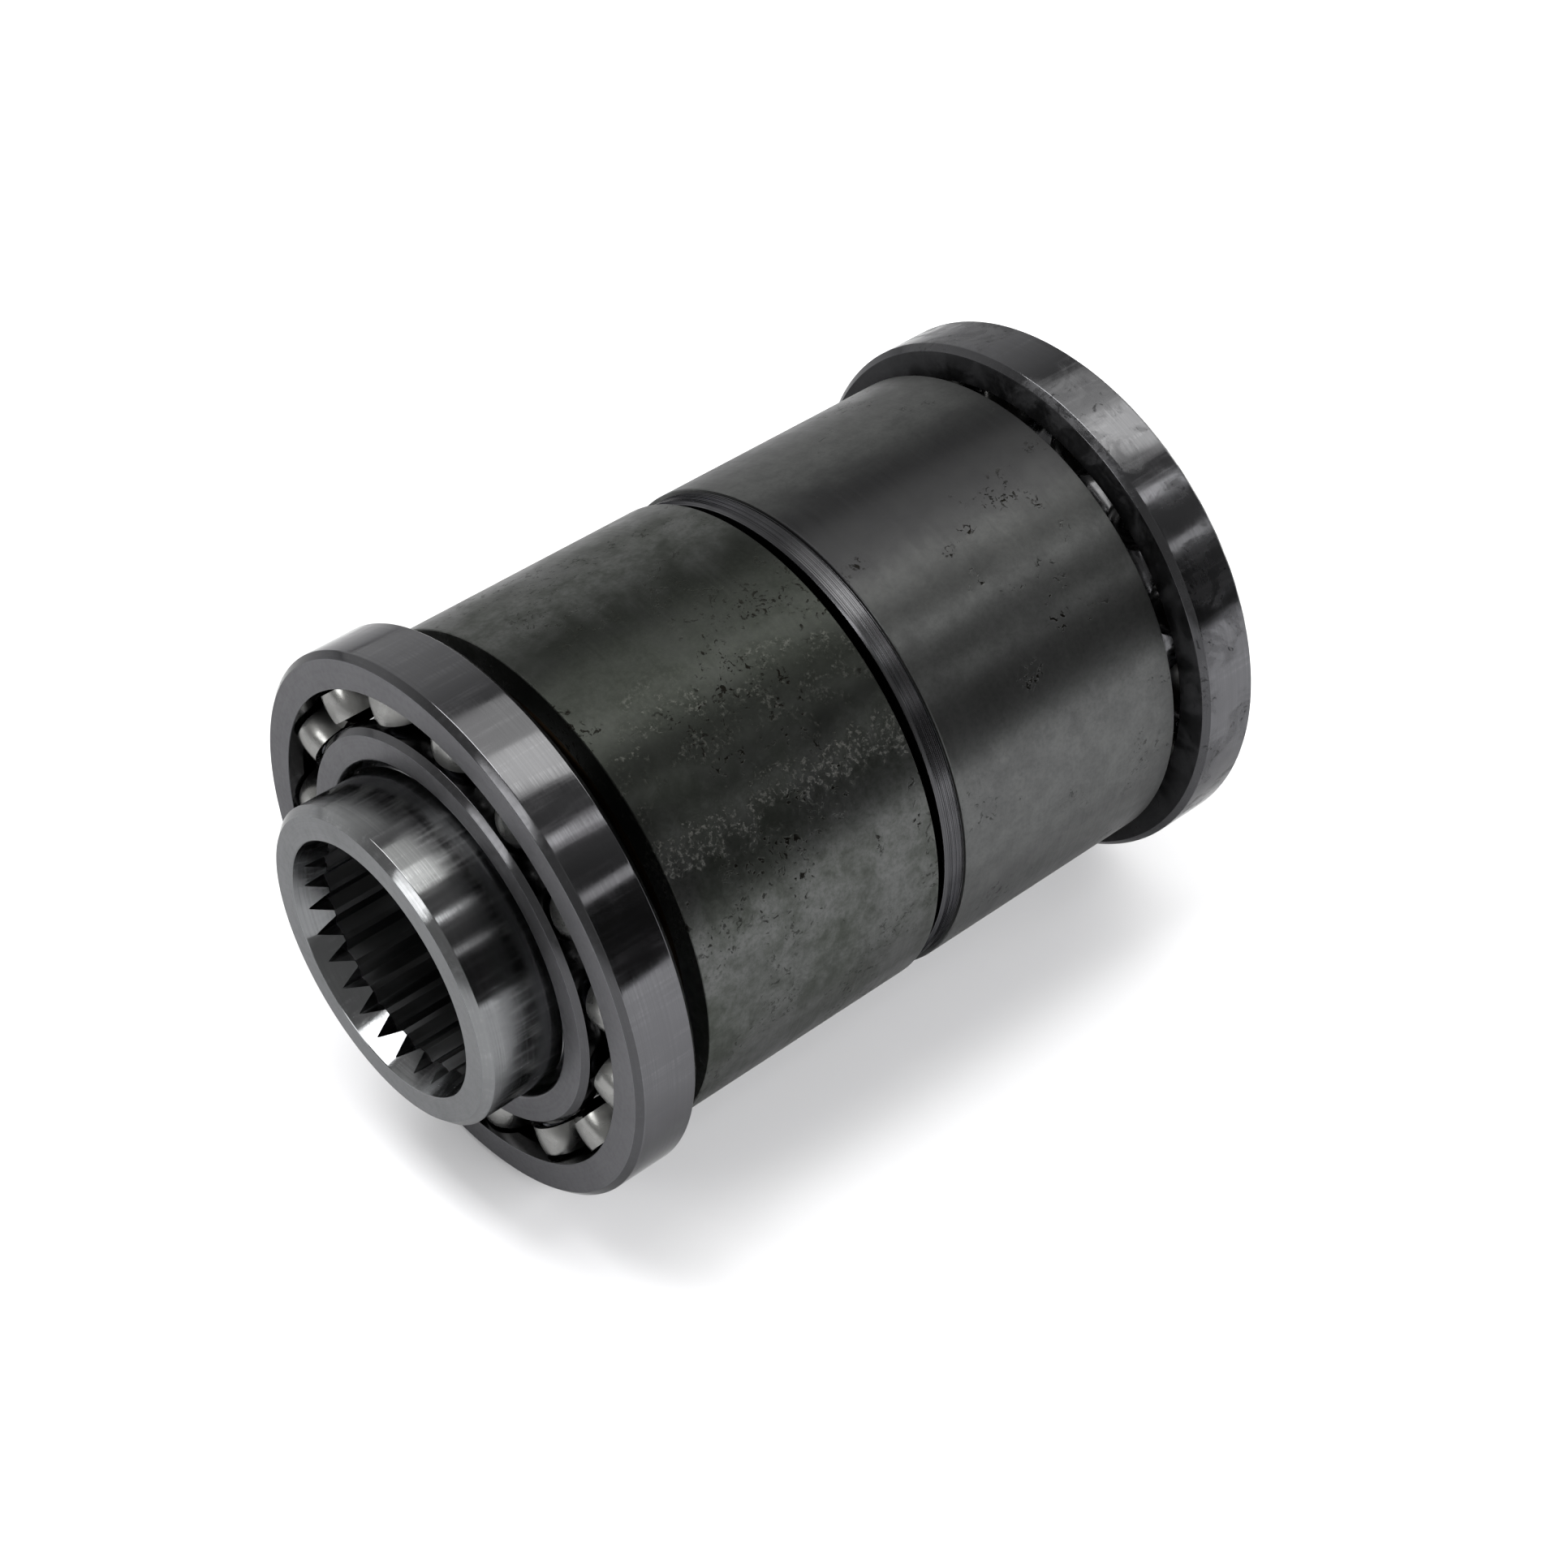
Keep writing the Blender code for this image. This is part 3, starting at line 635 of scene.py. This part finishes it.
def studio_floor(name):
    """Smooth white studio sweep: matt, with the faintest unevenness."""
    material, tree, shader, position = new_material(name)
    cloud = noise(position, 1 / (400 * MM), detail=2)
    tree.links.new(mix_colour(remap(cloud, 0.3, 0.7), linear(0xDCDCDD), linear(0xD8D8DA)),
                   shader.inputs["Base Color"])
    shader.inputs["Roughness"].default_value = 0.9
    shader.inputs["Specular IOR Level"].default_value = 0.1
    return material


# ---- pieces


def spline_radius(share, hub):
    """Bore radius at a share of one tooth pitch, with the tooth space centred on 0."""
    pitch = TAU * hub.tip_radius / hub.teeth
    land = 0.5 - 0.5 * (1.0 * MM) / pitch
    away = min(share, 1 - share)
    radius = hub.root_radius + (hub.tip_radius - hub.root_radius) * min(1.0, away / land)
    return min(radius, hub.root_radius - 0.03 * MM)


def hub_end(hub, face, outboard, inboard, inward):
    """Corners of one end of the hub, from its face past a bearing's two faces to the race."""
    boss, chamfer, seat = hub.boss_radius, hub.boss_chamfer, hub.seat_radius
    step = outboard + inward * SEAT_INSET
    shoulder = inboard + inward * RUNNING_GAP
    return [
        (face, boss - chamfer, 0.1 * MM),
        (face + inward * chamfer, boss, 0.2 * MM),
        (step, boss, 0.2 * MM),
        (step + inward * (seat - boss), seat, 0.1 * MM),
        (shoulder, seat, 0),
        (shoulder, hub.race_radius, 0.3 * MM),
    ]


def hub_profile(hub, start, end, first_bearing, last_bearing):
    """Outside of the hub from the front face to the rear face, as rounded points."""
    front = hub_end(hub, start, first_bearing[0], first_bearing[1], 1)
    rear = hub_end(hub, end, last_bearing[1], last_bearing[0], -1)
    # The first and last corners only give the end faces a direction to be rounded from.
    axis_side = hub.boss_radius / 2
    return rounded([(start, axis_side, 0), *front, *reversed(rear), (end, axis_side, 0)])[1:-1]


class CARTRIDGE_OT_hub(bpy.types.Operator):
    """Build the splined hub"""

    bl_idname = "cartridge.hub"
    bl_label = "Splined hub"

    def execute(self, context):
        hub = settings().hub
        start, end = x_span("splined_hub")
        bm = bmesh.new()
        angles = [TAU * index / FINE_SEGMENTS for index in range(FINE_SEGMENTS)]
        profile = hub_profile(
            hub, start, end, x_span("front_bearing_inner_ring"), x_span("rear_bearing_inner_ring"),
        )
        outside = [[bm.verts.new(around(x, radius, angle)) for angle in angles] for x, radius in profile]
        steps = FINE_SEGMENTS // hub.teeth
        shares = (0, 0.035, 0.13, 0.25, 0.36, 0.39, 0.5, 0.61, 0.64, 0.75, 0.87, 0.965)
        bore_angles = [
            SPLINE_TURN + TAU * (tooth + share) / hub.teeth for tooth in range(hub.teeth) for share in shares
        ]
        radii = [spline_radius(share, hub) for tooth in range(hub.teeth) for share in shares]
        assert len(shares) == steps
        mouth = hub.root_radius + hub.mouth_step
        edge = 0.15 * MM
        bore = []
        for face, inward in ((start, 1), (end, -1)):
            cone_end = face + inward * (0.2 * MM + (mouth - hub.tip_radius) / hub.lead_slope)
            rows = [
                [(face, mouth + edge)] * len(radii),
                [(face + inward * edge * 0.3, mouth + edge * 0.3)] * len(radii),
                [(face + inward * edge, mouth - edge * hub.lead_slope)] * len(radii),
                [(face + inward * (mouth - radius) / hub.lead_slope, radius) for radius in radii],
                [(cone_end, radius) for radius in radii],
            ]
            made = [
                [bm.verts.new(around(x, radius, angle)) for (x, radius), angle in zip(row, bore_angles)]
                for row in rows
            ]
            bore.extend(made if inward == 1 else reversed(made))
        loft(bm, bore)
        # The bore's corners start a little after the outside's, so each end face is joined in order.
        loft(bm, [outside[0], bore[0]])
        loft(bm, [bore[-1], outside[-1]])
        loft(bm, outside)
        steel = ground_steel(
            "ground_polished_hub_steel", colour_of("hub"), 0.17, 0.3 * MM, 0.003 * MM,
            bore_radius=hub.root_radius, bore_ends=(start + LEAD_DEPTH, end - LEAD_DEPTH),
        )
        place(finish_mesh("splined_hub_fine", bm, steel, 11), "hub", "hub_steel", "splined_hub")
        return {"FINISHED"}


def groove(land, outwards, bearing, centre):
    """(x, radius, fillet) points of a ball groove, from -X to +X."""
    radius = bearing.ball_radius + bearing.groove_gap
    offset = outwards * (land - PITCH_RADIUS)
    reach = math.acos(offset / radius)
    steps = 14
    points = []
    for step in range(steps + 1):
        angle = reach * (2 * step / steps - 1)
        points.append((
            centre + radius * math.sin(angle), PITCH_RADIUS + outwards * radius * math.cos(angle), 0,
        ))
    return points


class CARTRIDGE_OT_rings(bpy.types.Operator):
    """Build the inner and outer rings of both ball bearings"""

    bl_idname = "cartridge.rings"
    bl_label = "Bearing rings"

    def execute(self, context):
        bearing = settings().bearing
        corner = bearing.corner
        grind = (colour_of("ring"), 0.15, 0.25 * MM, 0.002 * MM)
        steels = {
            "front": ground_steel("ground_bearing_steel", *grind, shaded_side=1),
            "rear": ground_steel("smudged_bearing_steel", *grind, shaded_side=-1, smudge=1.0),
        }
        for side, steel in steels.items():
            start, end = x_span(side + "_bearing_outer_ring")
            centre = (start + end) / 2
            radius = bearing.outer_radius
            outer = [
                (start, bearing.outer_land, 0.15 * MM),
                *groove(bearing.outer_land, 1, bearing, centre),
                (end, bearing.outer_land, 0.15 * MM),
                (end, radius - corner, 0.3 * MM),
                (end - corner, radius, 0.3 * MM),
                (start + corner, radius, 0.3 * MM),
                (start, radius - corner, 0.3 * MM),
            ]
            place(lathe(side + "_outer_ring_fine", rounded(outer), steel),
                  side + "_outer_ring", "bearing_steel", side + "_bearing_outer_ring")
            face = bearing.inner_land - bearing.land_chamfer
            inner = [
                (start, face, 0.1 * MM),
                (start + bearing.land_chamfer, bearing.inner_land, 0.1 * MM),
                *groove(bearing.inner_land, -1, bearing, centre),
                (end - bearing.land_chamfer, bearing.inner_land, 0.1 * MM),
                (end, face, 0.1 * MM),
                (end, bearing.bore_radius, 0.8 * MM),
                (start, bearing.bore_radius, 0.8 * MM),
            ]
            place(lathe(side + "_inner_ring_fine", rounded(inner), steel),
                  "hub", "bearing_steel", side + "_bearing_inner_ring")
        return {"FINISHED"}


class CARTRIDGE_OT_balls(bpy.types.Operator):
    """Build the balls of both bearings"""

    bl_idname = "cartridge.balls"
    bl_label = "Balls"

    def execute(self, context):
        steel = lapped_steel("lapped_ball_steel", colour_of("ball"))
        radius = settings().bearing.ball_radius
        for side in ("front", "rear"):
            for node, centre in ball_centres(side):
                bm = bmesh.new()
                bmesh.ops.create_icosphere(bm, subdivisions=5, radius=radius)
                ball = finish_mesh(node + "_fine", bm, steel)
                ball.location = centre
                place(ball, side + "_ball_set", "ball_steel", node)
        return {"FINISHED"}


def cage_height(radial, tangential, sphere, flat):
    """Height of the cage sheet above the mid plane: an arch over the ball that blends into the flat."""
    radial_share = 0.6
    blend_power = 8
    dome = math.sqrt(max(0.0, sphere ** 2 - (radial_share * radial) ** 2 - tangential ** 2))
    return (dome ** blend_power + flat ** blend_power) ** (1 / blend_power)


def cage_half(name, side, centre, turn, material):
    """One pressed half of a ball cage on one side of the ball plane."""
    bearing = settings().bearing
    inner_sphere = bearing.ball_radius + bearing.cage_gap
    outer_sphere = inner_sphere + bearing.cage_thickness
    high_flat = CAGE_SPLIT + bearing.cage_thickness
    across = [outer_sphere * math.sin(math.radians(7.5 * step)) for step in range(-12, 13)]
    rows = [bearing.cage_half_width * step / 4 for step in range(-4, 5)]
    bm = bmesh.new()
    stations = []
    for index in range(BALL_COUNT):
        angle = turn + TAU * index / BALL_COUNT
        for tangential in across:
            upper, lower = [], []
            for radial in rows:
                high = cage_height(radial, tangential, outer_sphere, high_flat)
                low = cage_height(radial, tangential, inner_sphere, CAGE_SPLIT)
                low = min(low, high - 0.3 * bearing.cage_thickness)
                for row, height in ((upper, high), (lower, low)):
                    spot = beside(centre + side * height, PITCH_RADIUS + radial, tangential, angle)
                    row.append(bm.verts.new(spot))
            stations.append(upper + lower[::-1])
        for share in (0.25, 0.5, 0.75):
            gap_start = math.atan2(across[-1], PITCH_RADIUS)
            between = angle + gap_start + (TAU / BALL_COUNT - 2 * gap_start) * share
            spots = [(high_flat, radial) for radial in rows] + [(CAGE_SPLIT, radial) for radial in rows[::-1]]
            stations.append([
                bm.verts.new(around(centre + side * flat, PITCH_RADIUS + radial, between))
                for flat, radial in spots
            ])
    loft(bm, stations, closed=True)
    return finish_mesh(name, bm, material, 45)


def rivet_set(name, centre, turn, material):
    """The rivets of one cage: a shank and two domed heads between each two balls."""
    bearing = settings().bearing
    seat = CAGE_SPLIT + bearing.cage_thickness
    dome = []
    steps = 6
    for step in range(steps + 1):
        angle = math.pi / 2 * step / steps
        dome.append((seat + bearing.rivet_height * math.sin(angle), bearing.rivet_radius * math.cos(angle)))
    dome[-1] = (dome[-1][0], 0.02 * MM)
    profile = [(-x, radius) for x, radius in reversed(dome)] + dome
    corners = [TAU * corner / 20 for corner in range(20)]
    bm = bmesh.new()
    for index in range(BALL_COUNT):
        angle = turn + TAU * (index + 0.5) / BALL_COUNT
        capped_loft(bm, [
            [
                beside(centre + x, PITCH_RADIUS + radius * math.cos(corner), radius * math.sin(corner), angle)
                for corner in corners
            ]
            for x, radius in profile
        ])
    return finish_mesh(name, bm, material)


class CARTRIDGE_OT_cages(bpy.types.Operator):
    """Build the pressed ball cages and their rivets"""

    bl_idname = "cartridge.cages"
    bl_label = "Ball cages"

    def execute(self, context):
        steel = pressed_steel("pressed_bright_cage_steel", colour_of("cage"))
        for side, outboard in (("front", -1), ("rear", 1)):
            start, end = x_span(side + "_bearing_outer_ring")
            centre = (start + end) / 2
            turn = ball_turn(side)
            for place_name, direction in (("outboard", outboard), ("inboard", -outboard)):
                node = f"{side}_cage_{place_name}_half"
                place(cage_half(node + "_fine", direction, centre, turn, steel),
                      side + "_ball_set", "cage_steel", node)
            place(rivet_set(side + "_cage_rivets", centre, turn, steel), side + "_ball_set", "cage_steel")
        return {"FINISHED"}


class CARTRIDGE_OT_sleeves(bpy.types.Operator):
    """Build the two ground sleeves"""

    bl_idname = "cartridge.sleeves"
    bl_label = "Clutch sleeves"

    def execute(self, context):
        clutch = settings().clutch
        clean, stain, haze = colour_of("sleeve"), colour_of("stain"), colour_of("haze")
        scuff_angle = 0.87
        looks = {
            # Each pair of angles bounds the band of varnish and painted shade on that sleeve.
            "front": sleeve_steel("stained_ground_sleeve_steel", clean, stain, 1.0, (0.08, 0.6), scuff_angle),
            "rear": sleeve_steel("ground_sleeve_steel", clean, haze, 0.0, (0.08, 0.3), scuff_angle),
        }
        for side, steel in looks.items():
            start, end = x_span(side + "_clutch_sleeve")
            corner = clutch.sleeve_corner
            bore, radius = clutch.sleeve_bore, clutch.sleeve_radius
            profile = [
                (start, bore + corner, 0.1 * MM),
                (start + corner, bore, 0.1 * MM),
                (end - corner, bore, 0.1 * MM),
                (end, bore + corner, 0.1 * MM),
                (end, radius - corner, 0.06 * MM),
                (end - corner, radius, 0.06 * MM),
                (start + corner, radius, 0.06 * MM),
                (start, radius - corner, 0.06 * MM),
            ]
            place(lathe(side + "_sleeve_fine", rounded(profile), steel),
                  side + "_clutch", "sleeve_steel", side + "_clutch_sleeve")
        return {"FINISHED"}


class CARTRIDGE_OT_spacers(bpy.types.Operator):
    """Build the turned ring between the sleeves and the two thrust spacers"""

    bl_idname = "cartridge.spacers"
    bl_label = "Spacer rings"

    def execute(self, context):
        clutch = settings().clutch
        hub = settings().hub
        steel = turned_steel("turned_spacer_steel", colour_of("spacer"), 0.3 * MM)
        start, end = x_span("middle_spacer_ring")
        end += 0.25 * MM
        bore = hub.race_radius + RUNNING_GAP
        edge = 0.25 * MM
        pitch = (end - start - 2 * edge) / clutch.ring_grooves
        outside = []
        for line in range(clutch.ring_grooves):
            left = start + 2 * edge + pitch * line
            outside += [
                (left, clutch.ring_radius, 0),
                (left + pitch * 0.68, clutch.ring_radius, 0),
                (left + pitch * 0.84, clutch.ring_radius - clutch.ring_groove_depth, 0),
            ]
        profile = [
            (start, bore, 0.15 * MM),
            (start, clutch.ring_radius - 2 * edge, 0.3 * MM),
            *outside,
            (end, clutch.ring_radius, 0),
            (end, bore, 0.15 * MM),
        ]
        ring = lathe("middle_ring_fine", rounded(profile, 3), steel)
        place(ring, "hub", "spacer_steel", "middle_spacer_ring")
        for node in ("front_thrust_spacer", "rear_thrust_spacer"):
            start, end = x_span(node)
            radius = true_radius(node)
            profile = [
                (start, bore, 0.2 * MM),
                (end, bore, 0.2 * MM),
                (end, radius, 0.3 * MM),
                (start, radius, 0.3 * MM),
            ]
            place(lathe(node + "_fine", rounded(profile, 3), steel, 168), "hub", "spacer_steel", node)
        return {"FINISHED"}


class CARTRIDGE_OT_bushes(bpy.types.Operator):
    """Build the bronze bushes inside the sleeves"""

    bl_idname = "cartridge.bushes"
    bl_label = "Bronze bushes"

    def execute(self, context):
        bronze = bearing_bronze("turned_bearing_bronze", colour_of("bronze"))
        bore = settings().hub.race_radius + RUNNING_GAP
        for side in ("front", "rear"):
            for end_name in ("front", "rear"):
                node = f"{side}_clutch_{end_name}_bush"
                start, end = x_span(node)
                radius = true_radius(node)
                middle = (start + end) / 2
                profile = [
                    (start, bore, 0.3 * MM),
                    (middle - 0.6 * MM, bore, 0.1 * MM),
                    (middle - 0.4 * MM, bore + 0.5 * MM, 0.1 * MM),
                    (middle + 0.4 * MM, bore + 0.5 * MM, 0.1 * MM),
                    (middle + 0.6 * MM, bore, 0.1 * MM),
                    (end, bore, 0.3 * MM),
                    (end, radius, 0.4 * MM),
                    (start, radius, 0.4 * MM),
                ]
                bush = lathe(node + "_fine", rounded(profile, 3), bronze, 168)
                place(bush, side + "_clutch", "bush_bronze", node)
        return {"FINISHED"}


def sprag_outline(height, steps=28):
    """Outline of one sprag as (tangential, radial): two offset cam arcs joined by a narrow waist."""
    tilt = math.radians(8)
    points = []
    for step in range(steps):
        angle = TAU * step / steps
        up = math.sin(angle)
        width = 0.3 + 0.16 * up * up
        lean = 0.06 * math.sin(2 * angle)
        across = width * math.cos(angle) * (1.25 - 0.1 * up * up) + lean
        points.append((
            height * (across * math.cos(tilt) + 0.5 * up * math.sin(tilt)) * 0.82,
            height * (0.5 * up * math.cos(tilt) - across * math.sin(tilt) * 0.15),
        ))
    return points


def windowed_ring(name, inner, outer, levels, opening, material):
    """A thin ring with a window for each sprag; opening is half a window's angle."""
    bm = bmesh.new()
    columns = []
    for index in range(SPRAG_COUNT):
        middle = TAU * index / SPRAG_COUNT
        spread = TAU / SPRAG_COUNT - 2 * opening
        for angle in (-opening, opening, *(opening + spread * share for share in (0.2, 0.4, 0.6, 0.8))):
            columns.append([
                [bm.verts.new(around(x, radius, middle + angle)) for radius in (inner, outer)] for x in levels
            ])
    columns_per_window = len(columns) // SPRAG_COUNT
    for index, first in enumerate(columns):
        second = columns[(index + 1) % len(columns)]
        is_window = index % columns_per_window == 0
        for level in (0, 1, 2, 3) if is_window else (0, 3):
            bm.faces.new((first[level][0], first[level][1], second[level][1], second[level][0]))
        for level in range(3):
            if is_window and level == 1:
                continue
            for side in (0, 1):
                bm.faces.new((
                    first[level][side], first[level + 1][side], second[level + 1][side], second[level][side],
                ))
        if is_window:
            for column in (first, second):
                bm.faces.new((column[1][0], column[1][1], column[2][1], column[2][0]))
    return finish_mesh(name, bm, material)


class CARTRIDGE_OT_sprags(bpy.types.Operator):
    """Build the sprags, their cages and their ribbon springs"""

    bl_idname = "cartridge.sprags"
    bl_label = "Sprags and cages"

    def execute(self, context):
        clutch = settings().clutch
        steel = ground_steel("hardened_sprag_steel", colour_of("sprag"), 0.24, 0.2 * MM, 0.003 * MM)
        middle = settings().hub.race_radius + SPRAG_MIDDLE
        outline = sprag_outline(clutch.sprag_height)
        for side in ("front", "rear"):
            start, end = x_span(side + "_sprag_set")
            bm = bmesh.new()
            edge = 0.25 * MM
            for index in range(SPRAG_COUNT):
                angle = TAU * index / SPRAG_COUNT
                capped_loft(bm, [
                    [beside(x, middle + up * share, -across * share, angle) for across, up in outline]
                    for x, share in ((start, 0.93), (start + edge, 1), (end - edge, 1), (end, 0.93))
                ])
            sprags = finish_mesh(side + "_sprags", bm, steel)
            place(sprags, side + "_clutch", "sprag_steel", side + "_sprag_set")
            spring_start, spring_end = x_span(side + "_sprag_spring")
            rim = 2.8 * MM
            levels = (spring_start, spring_start + rim, spring_end - rim, spring_end)
            spring = windowed_ring(side + "_ribbon_spring", middle - 0.8 * MM, middle - 0.5 * MM, levels,
                                   2.1 * MM / middle, steel)
            place(spring, side + "_clutch", "sprag_steel", side + "_sprag_spring")
            cage = windowed_ring(side + "_sprag_cage", middle + 0.6 * MM, middle + 1.4 * MM, levels,
                                 2.3 * MM / middle, steel)
            place(cage, side + "_clutch", "sprag_steel")
        return {"FINISHED"}


# ---- stage


def softbox(name, direction, distance, size, radiance, colour, glossy):
    """An area light of even brightness that faces the object, with its first side along the shaft."""
    light = bpy.data.lights.new(name, "AREA")
    light.shape = "RECTANGLE"
    light.size, light.size_y = size
    light.energy = radiance * math.pi * size[0] * size[1]
    light.color = colour
    lamp = bpy.data.objects.new(name, light)
    lamp.visible_glossy = glossy
    outwards = Vector(direction).normalized()
    along = (Vector((1, 0, 0)) - outwards * outwards.x).normalized()
    turn = Matrix((along, outwards.cross(along), outwards)).transposed()
    lamp.matrix_world = Matrix.LocRotScale(outwards * distance, turn.to_quaternion(), None)
    bpy.context.scene.collection.objects.link(lamp)


WARM_WHITE = (1.0, 1.0, 0.97)
WHITE = (1.0, 1.0, 1.0)

# Name, direction from the object, distance, sides, radiance, colour, and whether reflections show it.
LIGHTS = (
    ("overhead_strip", (0.48, 0.107, 0.87), 0.9, (1.5, 0.6), 1.5, WARM_WHITE, True),
    ("overhead_core", (0.48, -0.05, 0.875), 0.88, (1.5, 0.28), 1.9, WARM_WHITE, True),
    ("second_strip", (0.48, -0.465, 0.745), 0.9, (0.9, 0.065), 3.0, WHITE, True),
    ("third_strip", (0.48, -0.715, 0.51), 0.9, (0.9, 0.055), 1.8, WHITE, True),
    ("bore_light", (-0.22, 0.24, 0.93), 1.0, (0.3, 0.66), 12.0, WHITE, True),
    ("chamfer_light", (-0.90, 0.06, 0.42), 1.0, (0.26, 0.36), 6.5, WHITE, True),
    ("shadow_fill", (0.2, -0.85, 0.42), 1.5, (2.0, 0.9), 7.0, WHITE, False),
    ("far_fill", (0.2, 0.9, 0.5), 1.5, (2.4, 0.9), 1.5, WHITE, False),
)
# Where the camera stands, from the middle of the front bearing's outboard face.
CAMERA_OFFSET = (-0.1739, -0.2743, 0.3308)


def room_light(scene):
    """A room bright on the far and front sides, dark over the near side, and plain white in view."""
    world = bpy.data.worlds.new("studio_room")
    world.use_nodes = True
    tree = world.node_tree
    direction = add(tree, "ShaderNodeTexCoord").outputs["Generated"]
    split = add(tree, "ShaderNodeSeparateXYZ", {"Vector": direction}).outputs
    far_side = remap(split["Y"], 0.38, 0.88, 0.28, 1.05)
    near_side = remap(split["Y"], -0.87, -0.5, 0.12, 1.0)
    horizon = remap(split["Z"], 0.45, 0.05, 1.0, 1.35)
    room = times(times(far_side, near_side), horizon)
    front_side = remap(split["X"], 0.1, -0.4, 0.0, 0.52)
    seen = add(tree, "ShaderNodeLightPath").outputs["Is Camera Ray"]
    strength = combine("MAXIMUM", combine("MAXIMUM", room, front_side), seen)
    background = tree.nodes["Background"]
    background.inputs["Color"].default_value = linear(0xF7F7F6)
    tree.links.new(strength, background.inputs["Strength"])
    scene.world = world


class CARTRIDGE_OT_stage(bpy.types.Operator):
    """Build the floor, the lights and the camera"""

    bl_idname = "cartridge.stage"
    bl_label = "Studio stage"

    def execute(self, context):
        scene = context.scene
        stage = settings().stage
        bm = bmesh.new()
        bmesh.ops.create_grid(bm, x_segments=8, y_segments=8, size=stage.floor_size / 2)
        floor = finish_mesh("studio_floor", bm, studio_floor("white_studio_sweep"))
        floor.location.z = -settings().bearing.outer_radius
        for light in LIGHTS:
            softbox(*light)
        room_light(scene)
        scene.view_settings.view_transform = "Standard"
        lens = bpy.data.cameras.new("camera")
        lens.lens = stage.camera_lens
        lens.sensor_width = 36
        lens.clip_start = 0.01
        camera = bpy.data.objects.new("camera", lens)
        start = x_span("front_bearing_outer_ring")[0]
        camera.location = Vector((start, 0, 0)) + Vector(CAMERA_OFFSET)
        camera.rotation_euler = Euler((math.pi / 2 - stage.camera_elevation, 0, stage.camera_azimuth))
        scene.collection.objects.link(camera)
        scene.camera = camera
        return {"FINISHED"}


# ---- panel and registration

OPERATORS = (
    CARTRIDGE_OT_hub,
    CARTRIDGE_OT_rings,
    CARTRIDGE_OT_balls,
    CARTRIDGE_OT_cages,
    CARTRIDGE_OT_sleeves,
    CARTRIDGE_OT_spacers,
    CARTRIDGE_OT_bushes,
    CARTRIDGE_OT_sprags,
    CARTRIDGE_OT_stage,
)


class CARTRIDGE_PT_panel(bpy.types.Panel):
    """Lists the cartridge's pieces"""

    bl_label = "Clutch cartridge"
    bl_idname = "CARTRIDGE_PT_panel"
    bl_space_type = "VIEW_3D"
    bl_region_type = "UI"
    bl_category = "Cartridge"

    def draw(self, context):
        for operator in OPERATORS:
            self.layout.operator(operator.bl_idname)


CLASSES = (
    HubSizes, BearingSizes, ClutchSizes, SteelColours, StageSettings, CartridgeSettings,
    *OPERATORS, CARTRIDGE_PT_panel,
)


def register():
    for cls in CLASSES:
        bpy.utils.register_class(cls)
    bpy.types.Scene.clutch_cartridge = bpy.props.PointerProperty(type=CartridgeSettings)


def unregister():
    del bpy.types.Scene.clutch_cartridge
    for cls in reversed(CLASSES):
        bpy.utils.unregister_class(cls)


def main():
    """Build every piece and the stage."""
    register()
    for operator in OPERATORS:
        family, action = operator.bl_idname.split(".")
        getattr(getattr(bpy.ops, family), action)()


if __name__ == "__main__":
    main()
